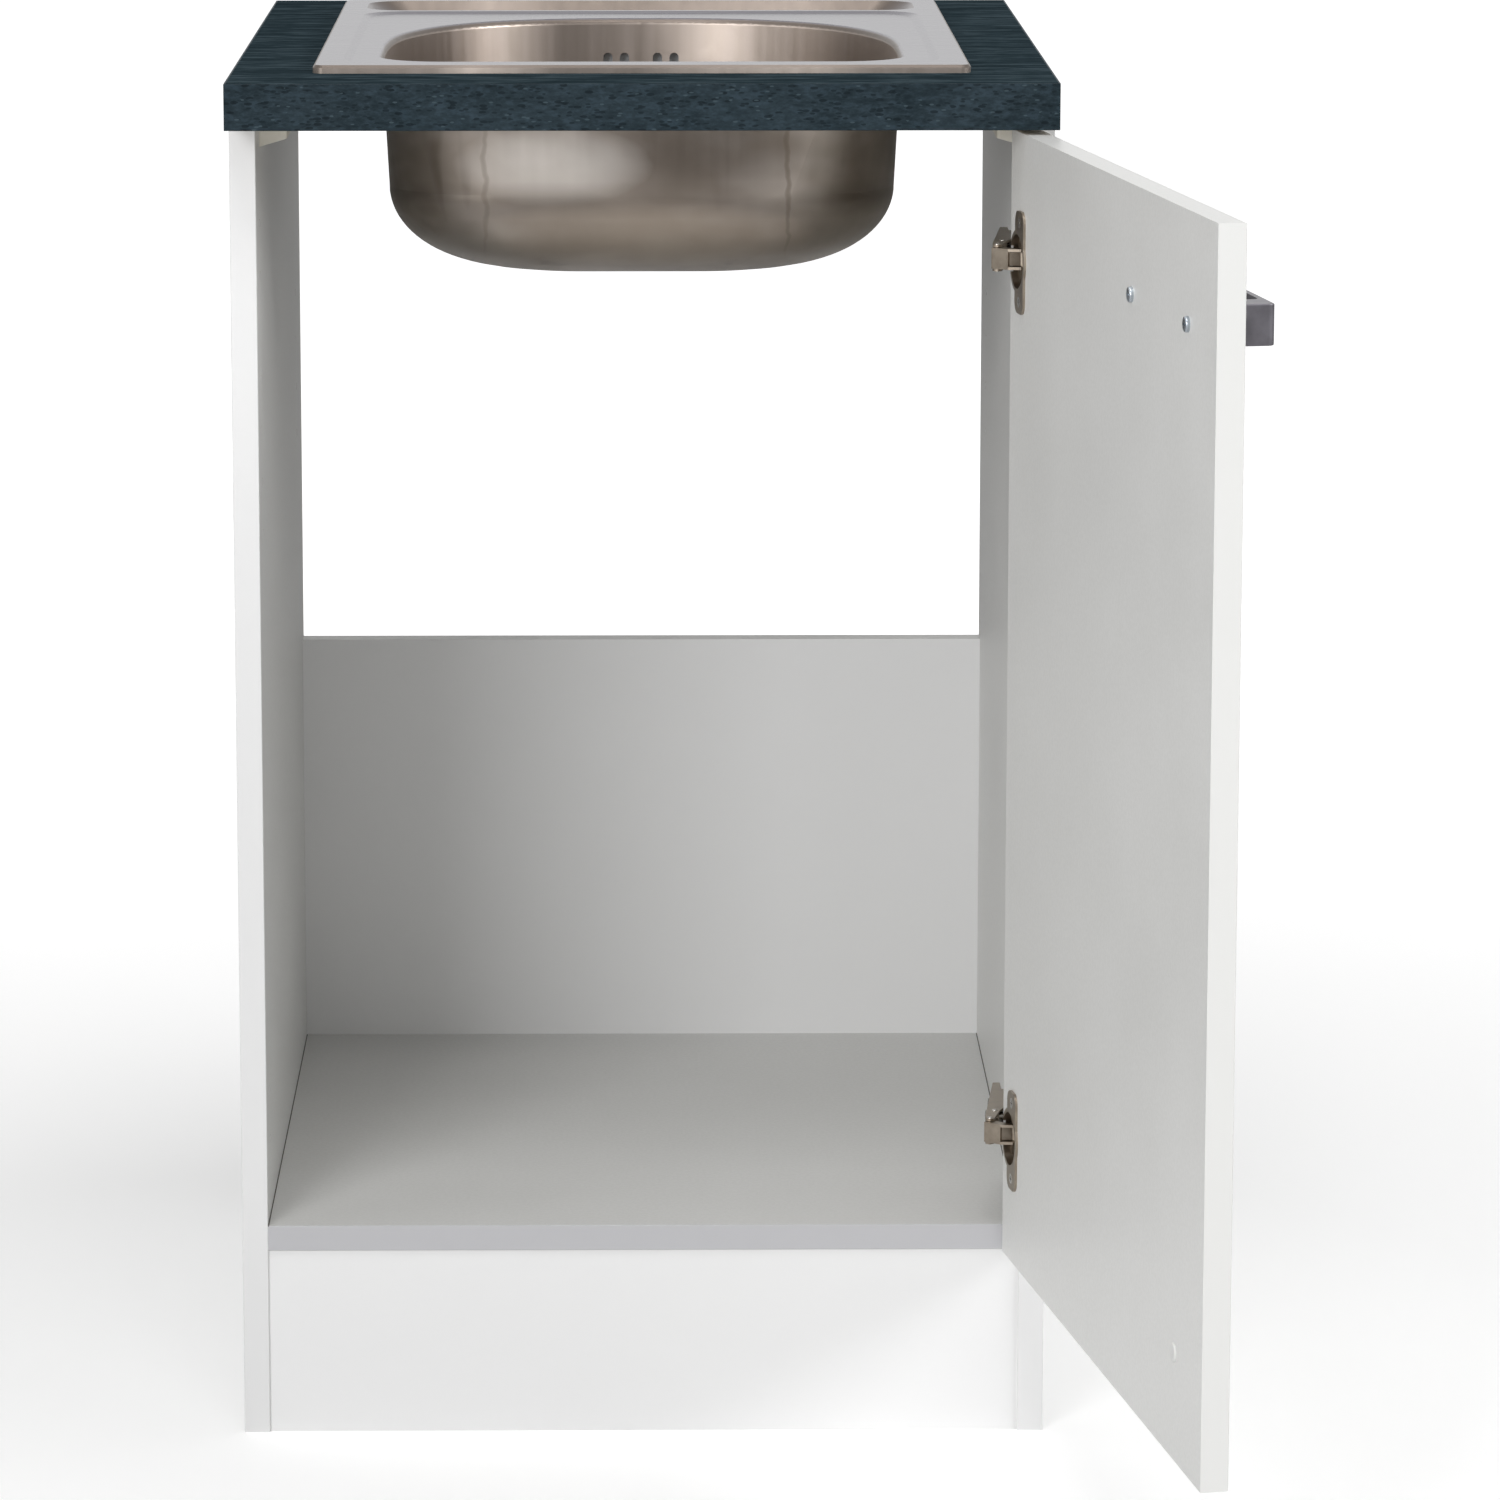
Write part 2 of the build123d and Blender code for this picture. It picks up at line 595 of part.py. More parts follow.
def sink_seal():
    half = SINK_WIDTH / 2 - SEAL_SETBACK
    front, back = SINK_FRONT + SEAL_SETBACK, SINK_BACK - SEAL_SETBACK
    ring = rounded((-half, front, TOP), (half, back, SINK_TOP - SHEET), SINK_CORNER)
    return ring - rounded(
        (-half + SEAL_WIDTH, front + SEAL_WIDTH, TOP - 1),
        (half - SEAL_WIDTH, back - SEAL_WIDTH, SINK_TOP),
        SINK_CORNER / 2,
    )


# ---- sink clamps ----
def clamp_depths():
    return [SINK_FRONT + SINK_DEPTH * share for share in CLAMP_PLACES]


def clamp_screws():
    """Bolts that hold each clamp to its rail, heads towards the bowl."""
    one = screw(CLAMP_SCREW, RAIL_THICK + CLAMP_THICK, CLAMP_SCREW * 1.9, CLAMP_SCREW_HEAD_HEIGHT)
    level = SINK_TOP - SHEET - RAIL_HEIGHT / 2 - 1
    return [
        aim(one, (side * (CLAMP_X - RAIL_THICK), depth, level), (-side, 0, 0))
        for side in (-1, 1)
        for depth in clamp_depths()
    ]


def clamp_rail(side):
    """A strip welded under the rim that carries the clamps."""
    depths = clamp_depths()
    outer = side * CLAMP_X
    return span(
        outer - side * RAIL_THICK,
        outer,
        depths[0] - CLAMP_WIDTH,
        depths[-1] + CLAMP_WIDTH,
        SINK_TOP - SHEET - RAIL_HEIGHT,
        SINK_TOP - SHEET,
    )


def clamp(side, depth):
    """A bent strip that hooks under the worktop."""
    near, far = side * CLAMP_X, side * (CLAMP_X + CLAMP_REACH)
    front, back = depth - CLAMP_WIDTH / 2, depth + CLAMP_WIDTH / 2
    foot = SIDE_HEIGHT - CLAMP_DROP
    bar = span(near, near + side * CLAMP_THICK, front, back, foot, SINK_TOP - SHEET - 1)
    sole = span(near, far, front, back, foot, foot + CLAMP_THICK)
    tip = span(far - side * CLAMP_THICK, far, front, back, foot, SIDE_HEIGHT)
    return bar + sole + tip


# ---- cabinet panels ----
def plate_screw_levels():
    return [level + way * PLATE_PITCH / 2 for level in HINGE_LEVELS.values() for way in (1, -1)]


def shelf_holes(side):
    """Two rows of shelf holes; the left panel also has the holes for hinges on that side."""
    top = plate_screw_levels()[0]
    levels = [top - SHELF_HOLE_PITCH * step for step in SHELF_HOLE_STEPS]
    rows = (PLATE_SCREW_DEPTH, CABINET_DEPTH - SHELF_ROW_FROM_BACK)
    places = [(depth, level) for depth in rows for level in levels]
    if side < 0:
        places += [(PLATE_SCREW_DEPTH, level) for level in plate_screw_levels()]
    one = Pos(0, 0, SHELF_HOLE_DEPTH / 2) * Cylinder(SHELF_HOLE, SHELF_HOLE_DEPTH)
    return [aim(one, (side * INNER_X, y, z), (side, 0, 0)) for y, z in places]


def side_panel(side, cutters):
    outer = side * CABINET_WIDTH / 2
    panel = span(outer, outer - side * BOARD, 0, CABINET_DEPTH, 0, SIDE_HEIGHT)
    panel = chamfer(panel.edges().filter_by(Axis.Z).group_by(Axis.Y)[0], PANEL_BEVEL)
    return minus(panel, cutters + shelf_holes(side))


def base_panel(cutters):
    panel = block((-INNER_X, 0, PLINTH_HEIGHT), (INNER_X, CABINET_DEPTH, BASE_TOP))
    panel = chamfer(panel.edges().filter_by(Axis.X).group_by(Axis.Y)[0], PANEL_BEVEL)
    return minus(panel, cutters)


def back_panel(cutters):
    front = CABINET_DEPTH - BOARD
    panel = block((-INNER_X, front, BASE_TOP), (INNER_X, CABINET_DEPTH, BACK_PANEL_TOP))
    return minus(panel, cutters)


def plinth_board(cutters):
    front = PLINTH_RECESS
    panel = block((-INNER_X, front, 0), (INNER_X, front + BOARD, PLINTH_HEIGHT))
    return minus(panel, cutters)


# ---- places on the closed door ----
def on_door(from_edge, depth):
    """Plan point of the closed door."""
    return (DOOR_EDGE - from_edge, -DOOR_GAP - depth)


REAR_PIVOT = (INNER_X - REAR_PIVOT_FROM_PANEL, REAR_PIVOT_DEPTH)
FRONT_PIVOT = (INNER_X - FRONT_PIVOT_FROM_PANEL, -FRONT_PIVOT_REACH)
CUP_PIVOT = on_door(REAR_CUP_FROM_EDGE, REAR_CUP_DEPTH)
CUP_PIVOT_OPEN = spin(CUP_PIVOT, REAR_PIVOT, REAR_LINK_TURN)
FRONT_END_OPEN = spin(on_door(FRONT_END_FROM_EDGE, FRONT_END_DEPTH), FRONT_PIVOT, FRONT_LINK_TURN)


def opened(shape):
    """A shape of the closed door, moved to where the open door stands."""
    at_pivot = Pos(-CUP_PIVOT[0], -CUP_PIVOT[1], 0) * shape
    return Pos(CUP_PIVOT_OPEN[0], CUP_PIVOT_OPEN[1], 0) * Rot(0, 0, DOOR_OPEN) * at_pivot


def into_door(shape, from_edge, level, proud=0.0):
    """A shape made along +Z, aimed out of the closed door's inner face."""
    x, y = on_door(from_edge, -proud)
    return aim(shape, (x, y, level), (0, 1, 0))


# ---- hinge cup ----
def cup_body(radius, depth):
    return Pos(0, 0, -depth / 2) * Cylinder(radius, depth)


def cup_screws(hole=False):
    one = sunk_screw(CUP_SCREW, CUP_SCREW_LENGTH, CUP_SCREW * 1.9, FLANGE_THICK, hole)
    place = CUP_FROM_EDGE + FLANGE_OFFSET
    return [
        into_door(one, place, level + way * FLANGE_PITCH / 2, FLANGE_THICK)
        for level in HINGE_LEVELS.values()
        for way in (-1, 1)
    ]


def cup_pin(level):
    """The rear link's pin, held by the two lugs in the cup."""
    half = FRONT_LINK_HEIGHT / 2 + LINK_GAP + 2 * PIN_RADIUS
    return upright(CUP_PIVOT, PIN_RADIUS, level - half, level + half)


def cup_lugs(level):
    """Lugs inside the cup, one each side of the rear link, that carry its pin."""
    x, y = CUP_PIVOT
    half = FRONT_LINK_HEIGHT / 2 + LINK_GAP
    reach = 2 * PIN_RADIUS
    bars = []
    for way in (-1, 1):
        low, high = level + way * half, level + way * CUP_RADIUS
        bars.append(span(x - reach, x + CUP_RADIUS, y - reach, y + reach, low, high))
    return group(bars) & into_door(cup_body(CUP_RADIUS, CUP_DEPTH), CUP_FROM_EDGE, level)


def hinge_cup(level):
    """A pressed cup with a flange; its rim is notched where the links come out."""
    wing = RectangleRounded(FLANGE_WIDTH, FLANGE_HEIGHT, FLANGE_CORNER)
    plate = extrude(wing, FLANGE_THICK)
    rim = Pos(0, 0, FLANGE_THICK / 2) * Cylinder(CUP_RIM_RADIUS, FLANGE_THICK)
    rim -= Pos(-CUP_RIM_RADIUS, 0, 0) * Box(CUP_RADIUS, CUP_NOTCH, 3 * FLANGE_THICK)
    shell = into_door(plate, CUP_FROM_EDGE + FLANGE_OFFSET, level)
    shell += into_door(rim + cup_body(CUP_RADIUS, CUP_DEPTH), CUP_FROM_EDGE, level)
    inner = Pos(0, 0, FLANGE_THICK) * cup_body(CUP_RADIUS - CUP_WALL, CUP_DEPTH + FLANGE_THICK - CUP_WALL)
    shell -= into_door(inner, CUP_FROM_EDGE, level)
    shell += cup_lugs(level)
    return minus(shell, cup_screws(True) + [cup_pin(level)])


# ---- hinge links ----
def link_hole(point, level):
    return upright(point, PIN_RADIUS + PIN_CLEARANCE, level - 2 * ARM_HALF, level + 2 * ARM_HALF)


def rear_link(level):
    """A bent tongue from the arm's rear pivot to the pin in the cup."""
    bends = [(REAR_PIVOT[0] + x, REAR_PIVOT[1] + y) for x, y in REAR_LINK_BENDS]
    path = [REAR_PIVOT] + bends + [CUP_PIVOT_OPEN]
    plan = stroke(path, REAR_LINK_WIDTH) + disc(CUP_PIVOT_OPEN, REAR_EYE_RADIUS)
    link = centred(plan, level, REAR_LINK_HEIGHT)
    link += centred(disc(REAR_PIVOT, REAR_BARREL_RADIUS), level, FRONT_LINK_HEIGHT)
    return link - link_hole(REAR_PIVOT, level) - link_hole(CUP_PIVOT_OPEN, level)


def front_link(level):
    """A channel round the rear link: two cheeks and a web on the room side."""
    x, y = FRONT_END_OPEN[0] - FRONT_PIVOT[0], FRONT_END_OPEN[1] - FRONT_PIVOT[1]
    length = math.hypot(x, y)
    cheek = stroke([(0, 0), (length, 0)], 2 * FRONT_END_RADIUS) + Circle(FRONT_EYE_RADIUS)
    cheek += Polygon(
        (FRONT_WEB_START, 0),
        (FRONT_WEB_START, -FRONT_WEB_OFFSET),
        (FRONT_WEB_END, -FRONT_WEB_OFFSET),
        (length, -FRONT_END_RADIUS),
        (length, 0),
        align=None,
    )
    inner = FRONT_WEB_THICK - FRONT_WEB_OFFSET
    gap = Pos(length / 2, 0) * Rectangle(2 * length, 2 * FRONT_WEB_OFFSET)
    gap -= Pos(length / 2, inner - length) * Rectangle(2 * length, 2 * length)
    solid = centred(cheek, level, FRONT_LINK_HEIGHT)
    gap += Pos(FRONT_WEB_END + length / 2, 0) * Rectangle(length, 3 * FRONT_WEB_OFFSET)
    solid -= centred(gap, level, FRONT_LINK_HEIGHT - 2 * FRONT_LINK_CHEEK)
    solid = Pos(FRONT_PIVOT[0], FRONT_PIVOT[1], 0) * Rot(0, 0, math.degrees(math.atan2(y, x))) * solid
    return solid - link_hole(FRONT_PIVOT, level)


# ---- hinge arm and mounting plate ----
def arm_web_x(depth):
    """The web's outer face at this depth behind the side panel's front edge."""
    share = (depth - ARM_START) / ARM_LENGTH
    return INNER_X - ARM_FRONT_PROUD + share * (ARM_FRONT_PROUD - ARM_REAR_PROUD)


def arm_pins(level):
    low, high = level - ARM_HALF, level + ARM_HALF
    return [upright(point, PIN_RADIUS, low, high) for point in (FRONT_PIVOT, REAR_PIVOT)]


def arm_screw(depth, length):
    one = screw(ARM_SCREW, length, ARM_SCREW * 1.5, ARM_SCREW_HEAD_HEIGHT)
    return [
        aim(one, (arm_web_x(depth), depth, level), (-1, 0, 0)) for level in HINGE_LEVELS.values()
    ]


def adjusting_screws():
    return arm_screw(ADJUSTING_DEPTH, INNER_X - ARM_REST - arm_web_x(ADJUSTING_DEPTH))


def fixing_screws():
    return arm_screw(FIXING_DEPTH, INNER_X - PLATE_THICK - arm_web_x(FIXING_DEPTH))


def hinge_arm(level):
    """A folded channel over the mounting plate, with a nose for the front link's pin."""
    rest, end = INNER_X - ARM_REST, ARM_START + ARM_LENGTH
    a, b = FRONT_PIVOT, REAR_PIVOT
    plan = Polygon(
        (arm_web_x(ARM_START), ARM_START),
        (a[0] - ARM_NOSE, a[1]),
        (a[0] + ARM_NOSE, a[1]),
        (b[0] + ARM_EYE, b[1]),
        (rest, PLATE_START),
        (rest, end),
        (arm_web_x(end), end),
        align=None,
    )
    plan += disc(a, ARM_NOSE) + disc(b, ARM_EYE)
    start_x, end_x = arm_web_x(ARM_START) + ARM_SHEET, arm_web_x(end) + ARM_SHEET
    hollow = Polygon(
        (start_x, ARM_START),
        (end_x, end),
        (end_x + ARM_LENGTH, end),
        (end_x + ARM_LENGTH, ARM_START - ARM_LENGTH),
        (start_x - ARM_LENGTH, ARM_START - ARM_LENGTH),
        (start_x - ARM_LENGTH, ARM_START),
        align=None,
    )
    arm = centred(plan, level, 2 * ARM_HALF) - centred(hollow, level, 2 * (ARM_HALF - ARM_SHEET))
    return minus(arm, arm_pins(level) + adjusting_screws() + fixing_screws())


def plate_screws(hole=False):
    one = sunk_screw(CUP_SCREW, PLATE_SCREW_LENGTH, CUP_SCREW * 1.9, PLATE_THICK, hole)
    seat = INNER_X - PLATE_THICK
    return [aim(one, (seat, PLATE_SCREW_DEPTH, level), (-1, 0, 0)) for level in plate_screw_levels()]


def mounting_plate(level):
    """A flat plate on the side panel with a saddle that the arm's cheeks rest on."""
    end = PLATE_START + PLATE_LENGTH
    half = PLATE_HEIGHT / 2
    plate = span(INNER_X, INNER_X - PLATE_THICK, PLATE_START, end, level - half, level + half)
    plate = fillet(plate.edges().filter_by(Axis.X), PLATE_CORNER)
    plate += span(INNER_X, INNER_X - ARM_REST, PLATE_START, end, level - ARM_HALF, level + ARM_HALF)
    return minus(plate, plate_screws(True) + fixing_screws())


# ---- door and handle ----
def handle_places():
    """Distance from the hinge edge of the two handle screws."""
    outer = DOOR_WIDTH - HANDLE_FROM_EDGE
    return [outer - HANDLE_PITCH, outer]


def handle_screws():
    length = BOARD + HANDLE_THREAD
    one = screw(HANDLE_SCREW, length, HANDLE_SCREW_HEAD, HANDLE_SCREW_HEAD * 0.55)
    return [into_door(one, place, DOOR_TOP - HANDLE_FROM_EDGE) for place in handle_places()]


def handle():
    """A bow handle cut from one bar, with two solid feet."""
    middle = sum(handle_places()) / 2
    x, face = on_door(middle, BOARD)
    level = DOOR_TOP - HANDLE_FROM_EDGE
    half, tall = HANDLE_LENGTH / 2, HANDLE_HEIGHT / 2
    bow = block((x - half, face - HANDLE_REACH, level - tall), (x + half, face, level + tall))
    bow = fillet(bow.edges().filter_by(Axis.Z).group_by(Axis.Y)[0], HANDLE_CORNER)
    inner = half - HANDLE_FOOT
    under = face - HANDLE_REACH + HANDLE_BAR
    grip = block((x - inner, under, level - tall), (x + inner, face, level + tall))
    bow -= fillet(grip.edges().filter_by(Axis.Z).group_by(Axis.Y)[0], HANDLE_CORNER)
    bow = fillet(bow.faces().sort_by(Axis.Y)[0].edges().filter_by(Axis.X), HANDLE_EDGE)
    return minus(bow, handle_screws())


def spare_cap():
    cap = Pos(0, 0, SPARE_CAP_THICK / 2) * Cylinder(SPARE_CAP_RADIUS, SPARE_CAP_THICK)
    cap = fillet(cap.edges().sort_by(Axis.Z)[-1:], SPARE_CAP_THICK * 0.6)
    cap += Pos(0, 0, -SPARE_HOLE_DEPTH / 2) * Cylinder(SPARE_HOLE_RADIUS, SPARE_HOLE_DEPTH)
    return into_door(cap, DOOR_WIDTH - HANDLE_FROM_EDGE, DOOR_BOTTOM + HANDLE_FROM_EDGE)


def door():
    x0, face = on_door(DOOR_WIDTH, BOARD)
    x1, inner = on_door(0, 0)
    panel = block((x0, face, DOOR_BOTTOM), (x1, inner, DOOR_TOP))
    panel = fillet(panel.faces().sort_by(Axis.Y)[0].edges(), DOOR_ROUND)
    cup = cup_body(CUP_RADIUS, CUP_DEPTH)
    cups = [into_door(cup, CUP_FROM_EDGE, level) for level in HINGE_LEVELS.values()]
    return minus(panel, cups + cup_screws(True) + handle_screws() + [spare_cap()])


# ---- all pieces ----
def cabinet_pieces():
    top_screws = [each for corner in CORNERS.values() for each in bracket_top_screws(*corner)]
    side_screws = [each for corner in CORNERS.values() for each in bracket_side_screws(*corner)]
    joints = joint_screws(True) + dowels()
    side_cutters = joints + cover_caps() + side_screws
    bolts = clamp_screws()
    rails = [clamp_rail(side) for side in (-1, 1)]
    clamps = [clamp(side, depth) for side in (-1, 1) for depth in clamp_depths()]
    pieces = {
        "side_panel_left": side_panel(-1, side_cutters),
        "side_panel_right": side_panel(1, side_cutters + plate_screws(True)),
        "base_panel": base_panel(joints),
        "plinth_board": plinth_board(joints),
        "back_panel": back_panel(joints),
        "carcass_screws": group(joint_screws()),
        "screw_cover_caps": group(cover_caps()),
        "panel_dowels": group(dowels()),
        "worktop": worktop(top_screws),
        "worktop_edge_front": worktop_front_band(),
        "worktop_edge_left": worktop_side_band(-1),
        "worktop_edge_right": worktop_side_band(1),
        "bracket_top_screws": group(top_screws),
        "bracket_side_screws": group(side_screws),
        "sink": sink(),
        "overflow_housing": overflow_housing(),
        "sink_seal": sink_seal(),
        "sink_clamp_rails": group(minus(rail, bolts) for rail in rails),
        "sink_clamps": group(minus(each, bolts) for each in clamps),
        "sink_clamp_screws": group(bolts),
    }
    for name, corner in CORNERS.items():
        pieces["worktop_bracket_" + name] = bracket(*corner)
    return pieces


def hinge_pieces():
    pieces = {
        "hinge_plate_screws": group(plate_screws()),
        "hinge_adjusting_screws": group(adjusting_screws()),
        "hinge_fixing_screws": group(fixing_screws()),
        "hinge_cup_screws": opened(group(cup_screws())),
    }
    for name, level in HINGE_LEVELS.items():
        pieces["hinge_plate_" + name] = mounting_plate(level)
        pieces["hinge_arm_" + name] = hinge_arm(level)
        pieces["hinge_arm_pins_" + name] = group(arm_pins(level))
        pieces["hinge_front_link_" + name] = front_link(level)
        pieces["hinge_rear_link_" + name] = rear_link(level)
        pieces["hinge_cup_" + name] = opened(hinge_cup(level))
        pieces["hinge_cup_pin_" + name] = opened(cup_pin(level))
    return pieces


def door_pieces():
    return {
        "door": opened(door()),
        "door_blanking_cap": opened(spare_cap()),
        "handle": opened(handle()),
        "handle_screws": opened(group(handle_screws())),
    }


def main():
    os.makedirs("parts", exist_ok=True)
    pieces = {**cabinet_pieces(), **door_pieces(), **hinge_pieces()}
    for name, shape in pieces.items():
        export_step(shape, f"parts/{name}.step")
        print(name, len(shape.solids()), round(shape.volume))


if __name__ == "__main__":
    main()
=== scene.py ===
import json
import math

import bpy
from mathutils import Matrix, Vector


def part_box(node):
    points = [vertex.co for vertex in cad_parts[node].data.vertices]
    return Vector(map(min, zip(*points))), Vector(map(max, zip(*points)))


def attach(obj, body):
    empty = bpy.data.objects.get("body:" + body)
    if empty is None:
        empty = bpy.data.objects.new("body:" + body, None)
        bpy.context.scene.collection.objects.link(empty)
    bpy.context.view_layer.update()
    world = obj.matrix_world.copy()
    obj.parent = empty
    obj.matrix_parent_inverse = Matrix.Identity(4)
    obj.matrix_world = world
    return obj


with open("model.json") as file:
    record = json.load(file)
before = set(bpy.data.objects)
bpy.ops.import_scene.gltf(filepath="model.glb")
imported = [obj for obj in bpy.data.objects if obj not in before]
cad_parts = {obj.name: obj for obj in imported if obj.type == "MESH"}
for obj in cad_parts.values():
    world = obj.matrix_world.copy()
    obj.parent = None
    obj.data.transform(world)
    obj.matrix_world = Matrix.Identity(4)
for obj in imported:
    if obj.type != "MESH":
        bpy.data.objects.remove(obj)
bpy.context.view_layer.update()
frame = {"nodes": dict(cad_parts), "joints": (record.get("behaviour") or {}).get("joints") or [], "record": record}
nodes = frame["nodes"]

scene = bpy.context.scene
scene.view_settings.view_transform = "Standard"

# Places and sizes are in metres: X from the cabinet's middle, Z from the floor. A ramp's stops are
# (position, hex colour or grey value). A noise or cell scale counts cells per metre.


# ---- helpers ----
def linear(code):
    """Linear RGBA of an sRGB hex colour."""
    values = []
    for start in (1, 3, 5):
        part = int(code[start:start + 2], 16) / 255
        values.append(part / 12.92 if part <= 0.04045 else ((part + 0.055) / 1.055) ** 2.4)
    return (*values, 1.0)


def grey(value):
    return (value, value, value, 1.0)


def add(tree, kind, inputs=None, **settings):
    """A new node with its settings, and its inputs set to values or linked to sockets."""
    item = tree.nodes.new(kind)
    for name, value in settings.items():
        setattr(item, name, value)
    for name, value in (inputs or {}).items():
        socket = item.inputs[name]
        if isinstance(value, bpy.types.NodeSocket):
            tree.links.new(value, socket)
        else:
            socket.default_value = value
    return item


def math_node(tree, operation, first, second=0.0, third=0.0):
    values = {0: first, 1: second, 2: third}
    return add(tree, "ShaderNodeMath", values, operation=operation).outputs[0]


def size_of(tree, value):
    return math_node(tree, "ABSOLUTE", value)


def ramp(tree, value, stops):
    """A colour ramp over the stops."""
    item = add(tree, "ShaderNodeValToRGB", {"Fac": value})
    band = item.color_ramp
    while len(band.elements) < len(stops):
        band.elements.new(0.5)
    for element, (place, colour) in zip(band.elements, stops):
        element.position = place
        element.color = linear(colour) if isinstance(colour, str) else grey(colour)
    return item.outputs["Color"]


def mix(tree, factor, first, second, blend="MIX"):
    """Two colours mixed; each is a socket, a hex colour or RGBA."""
    item = add(tree, "ShaderNodeMix", {"Factor": factor}, data_type="RGBA", blend_type=blend)
    for socket, value in ((item.inputs[6], first), (item.inputs[7], second)):
        if isinstance(value, bpy.types.NodeSocket):
            tree.links.new(value, socket)
        else:
            socket.default_value = linear(value) if isinstance(value, str) else value
    return item.outputs[2]


def coordinates(tree, kind="Object"):
    return add(tree, "ShaderNodeTexCoord").outputs[kind]


def stretch(tree, size):
    """Object coordinates scaled along each axis."""
    values = {"Vector": coordinates(tree), "Scale": size}
    return add(tree, "ShaderNodeMapping", values).outputs["Vector"]


def noise(tree, scale, detail=3.0, rough=0.5, where=None):
    where = where or coordinates(tree)
    values = {"Vector": where, "Scale": scale, "Detail": detail, "Roughness": rough}
    return add(tree, "ShaderNodeTexNoise", values).outputs["Fac"]


def stretched_noise(tree, size, detail, rough):
    """Noise with its own scale along each axis."""
    return noise(tree, 1.0, detail, rough, stretch(tree, size))


def place_parts(tree, kind="Object"):
    """X, Y and Z of a surface point, or of its normal, in the object's own frame."""
    return add(tree, "ShaderNodeSeparateXYZ", {"Vector": coordinates(tree, kind)}).outputs


def new_material(name, metallic=0.0, specular=0.5):
    material = bpy.data.materials.new(name)
    material.use_nodes = True
    tree = material.node_tree
    shader = tree.nodes["Principled BSDF"]
    shader.inputs["Metallic"].default_value = metallic
    shader.inputs["Specular IOR Level"].default_value = specular
    return material, tree, shader


def finish_surface(tree, shader, colour, roughness, height, strength, distance):
    """Links colour and roughness to the shader, and the height through a bump."""
    tree.links.new(colour, shader.inputs["Base Color"])
    tree.links.new(roughness, shader.inputs["Roughness"])
    values = {"Strength": strength, "Distance": distance, "Height": height}
    bump = add(tree, "ShaderNodeBump", values)
    tree.links.new(bump.outputs["Normal"], shader.inputs["Normal"])


# ---- boards ----
# A face looks along an axis when that part of its normal is larger than this.
FACING = 0.7
FRONT_FACING = 0.6
LEVEL_FACING = 0.5

CHIP_CELLS = 520.0
CHIP_TONES = [(0.0, "#7d5f3f"), (0.35, "#a9865c"), (0.7, "#c6a67a"), (1.0, "#d9c09a")]
CHIP_GAPS = [(0.35, 1.0), (0.75, 0.45)]

MOTTLE_TONES = [(0.35, "#cfcfca"), (0.65, "#f2f2f0")]
SPECK_TONES = [(0.4, "#b5b5b2"), (0.6, "#ffffff")]
JOINT_SHADE_FROM = 0.2333  # painted shade: at both ends, beside the side panels, the base panel's top is darkened from here outward, for the shade in the gap of the joint
JOINT_SHADE_TONE = "#40382f"
RAW_ROUGH = grey(0.85)
REAR_EDGE = (("Y", 1),)
REAR_AND_LOWER_EDGE = (("Y", 1), ("Z", -1))


def chip_colour(tree):
    """Raw chipboard: flat chips of several browns with dark gaps. Returns colour and height."""
    chips = add(tree, "ShaderNodeTexVoronoi", {"Scale": CHIP_CELLS, "Randomness": 1.0})
    tone = add(tree, "ShaderNodeSeparateColor", {"Color": chips.outputs["Color"]}).outputs[0]
    gaps = ramp(tree, chips.outputs["Distance"], CHIP_GAPS)
    colour = mix(tree, 1.0, ramp(tree, tone, CHIP_TONES), gaps, "MULTIPLY")
    return colour, noise(tree, 900.0, 4.0, 0.7)


def melamine(name, face, band, raw=(), joint_shade=False):
    """White melamine-faced chipboard: a faint mottle and fine specks, a plastic edge band along
    its front edge, and raw chipboard on the edges named in raw; with joint_shade, also a painted
    shade line on the top along both ends, for the shade in the joint's gap."""
    material, tree, shader = new_material(name, specular=0.42)
    mottle = noise(tree, 9.0, 5.0, 0.6)
    fine = noise(tree, 420.0, 2.0)
    colour = mix(tree, 0.10, face, ramp(tree, mottle, MOTTLE_TONES))
    colour = mix(tree, 0.05, colour, ramp(tree, fine, SPECK_TONES))
    normal = place_parts(tree, "Normal")
    front = math_node(tree, "LESS_THAN", normal["Y"], -FRONT_FACING)
    colour = mix(tree, front, colour, band)
    # painted shade line on the top where the panel meets the side panels
    if joint_shade:
        across = size_of(tree, place_parts(tree)["X"])
        near = math_node(tree, "GREATER_THAN", across, JOINT_SHADE_FROM)
        up = math_node(tree, "GREATER_THAN", normal["Z"], FACING)
        colour = mix(tree, math_node(tree, "MULTIPLY", near, up), colour, JOINT_SHADE_TONE)
    height = fine
    rough = ramp(tree, mottle, [(0.3, 0.34), (0.7, 0.46)])
    for axis, sign in raw:
        chips, grain = chip_colour(tree)
        outward = math_node(tree, "MULTIPLY", normal[axis], sign)
        edge = math_node(tree, "GREATER_THAN", outward, FACING)
        colour = mix(tree, edge, colour, chips)
        height = mix(tree, edge, height, grain)
        rough = mix(tree, edge, rough, RAW_ROUGH)
    finish_surface(tree, shader, colour, rough, height, 0.06, 0.0002)
    return material


# ---- worktop ----
CLOUD_TONES = [(0.36, "#222c33"), (0.5, "#2a343b"), (0.64, "#323d45")]
GRAIN_TONES = [(0.36, "#1d272b"), (0.5, "#2b373c"), (0.64, "#394750")]
STREAK_TONES = [(0.4, "#263338"), (0.5, "#35444a"), (0.62, "#54636a")]
FOIL_TONES = [(0.35, "#8d8578"), (0.65, "#a39b8d")]
BARE_ROUGH = grey(0.8)

# Flecks, about three times as long as high: cells per metre, share of cells left plain, colour and
# size within a cell. 440 cells per metre draw a fleck about 2 mm long.
FLECKS = (
    (440.0, 0.88, "#141b1f", 0.42),
    (680.0, 0.86, "#182024", 0.46),
    (560.0, 0.93, "#48565d", 0.38),
)
FLECK_STRETCH = (0.36, 1.0, 1.0)
FLECK_STRENGTH = 0.6


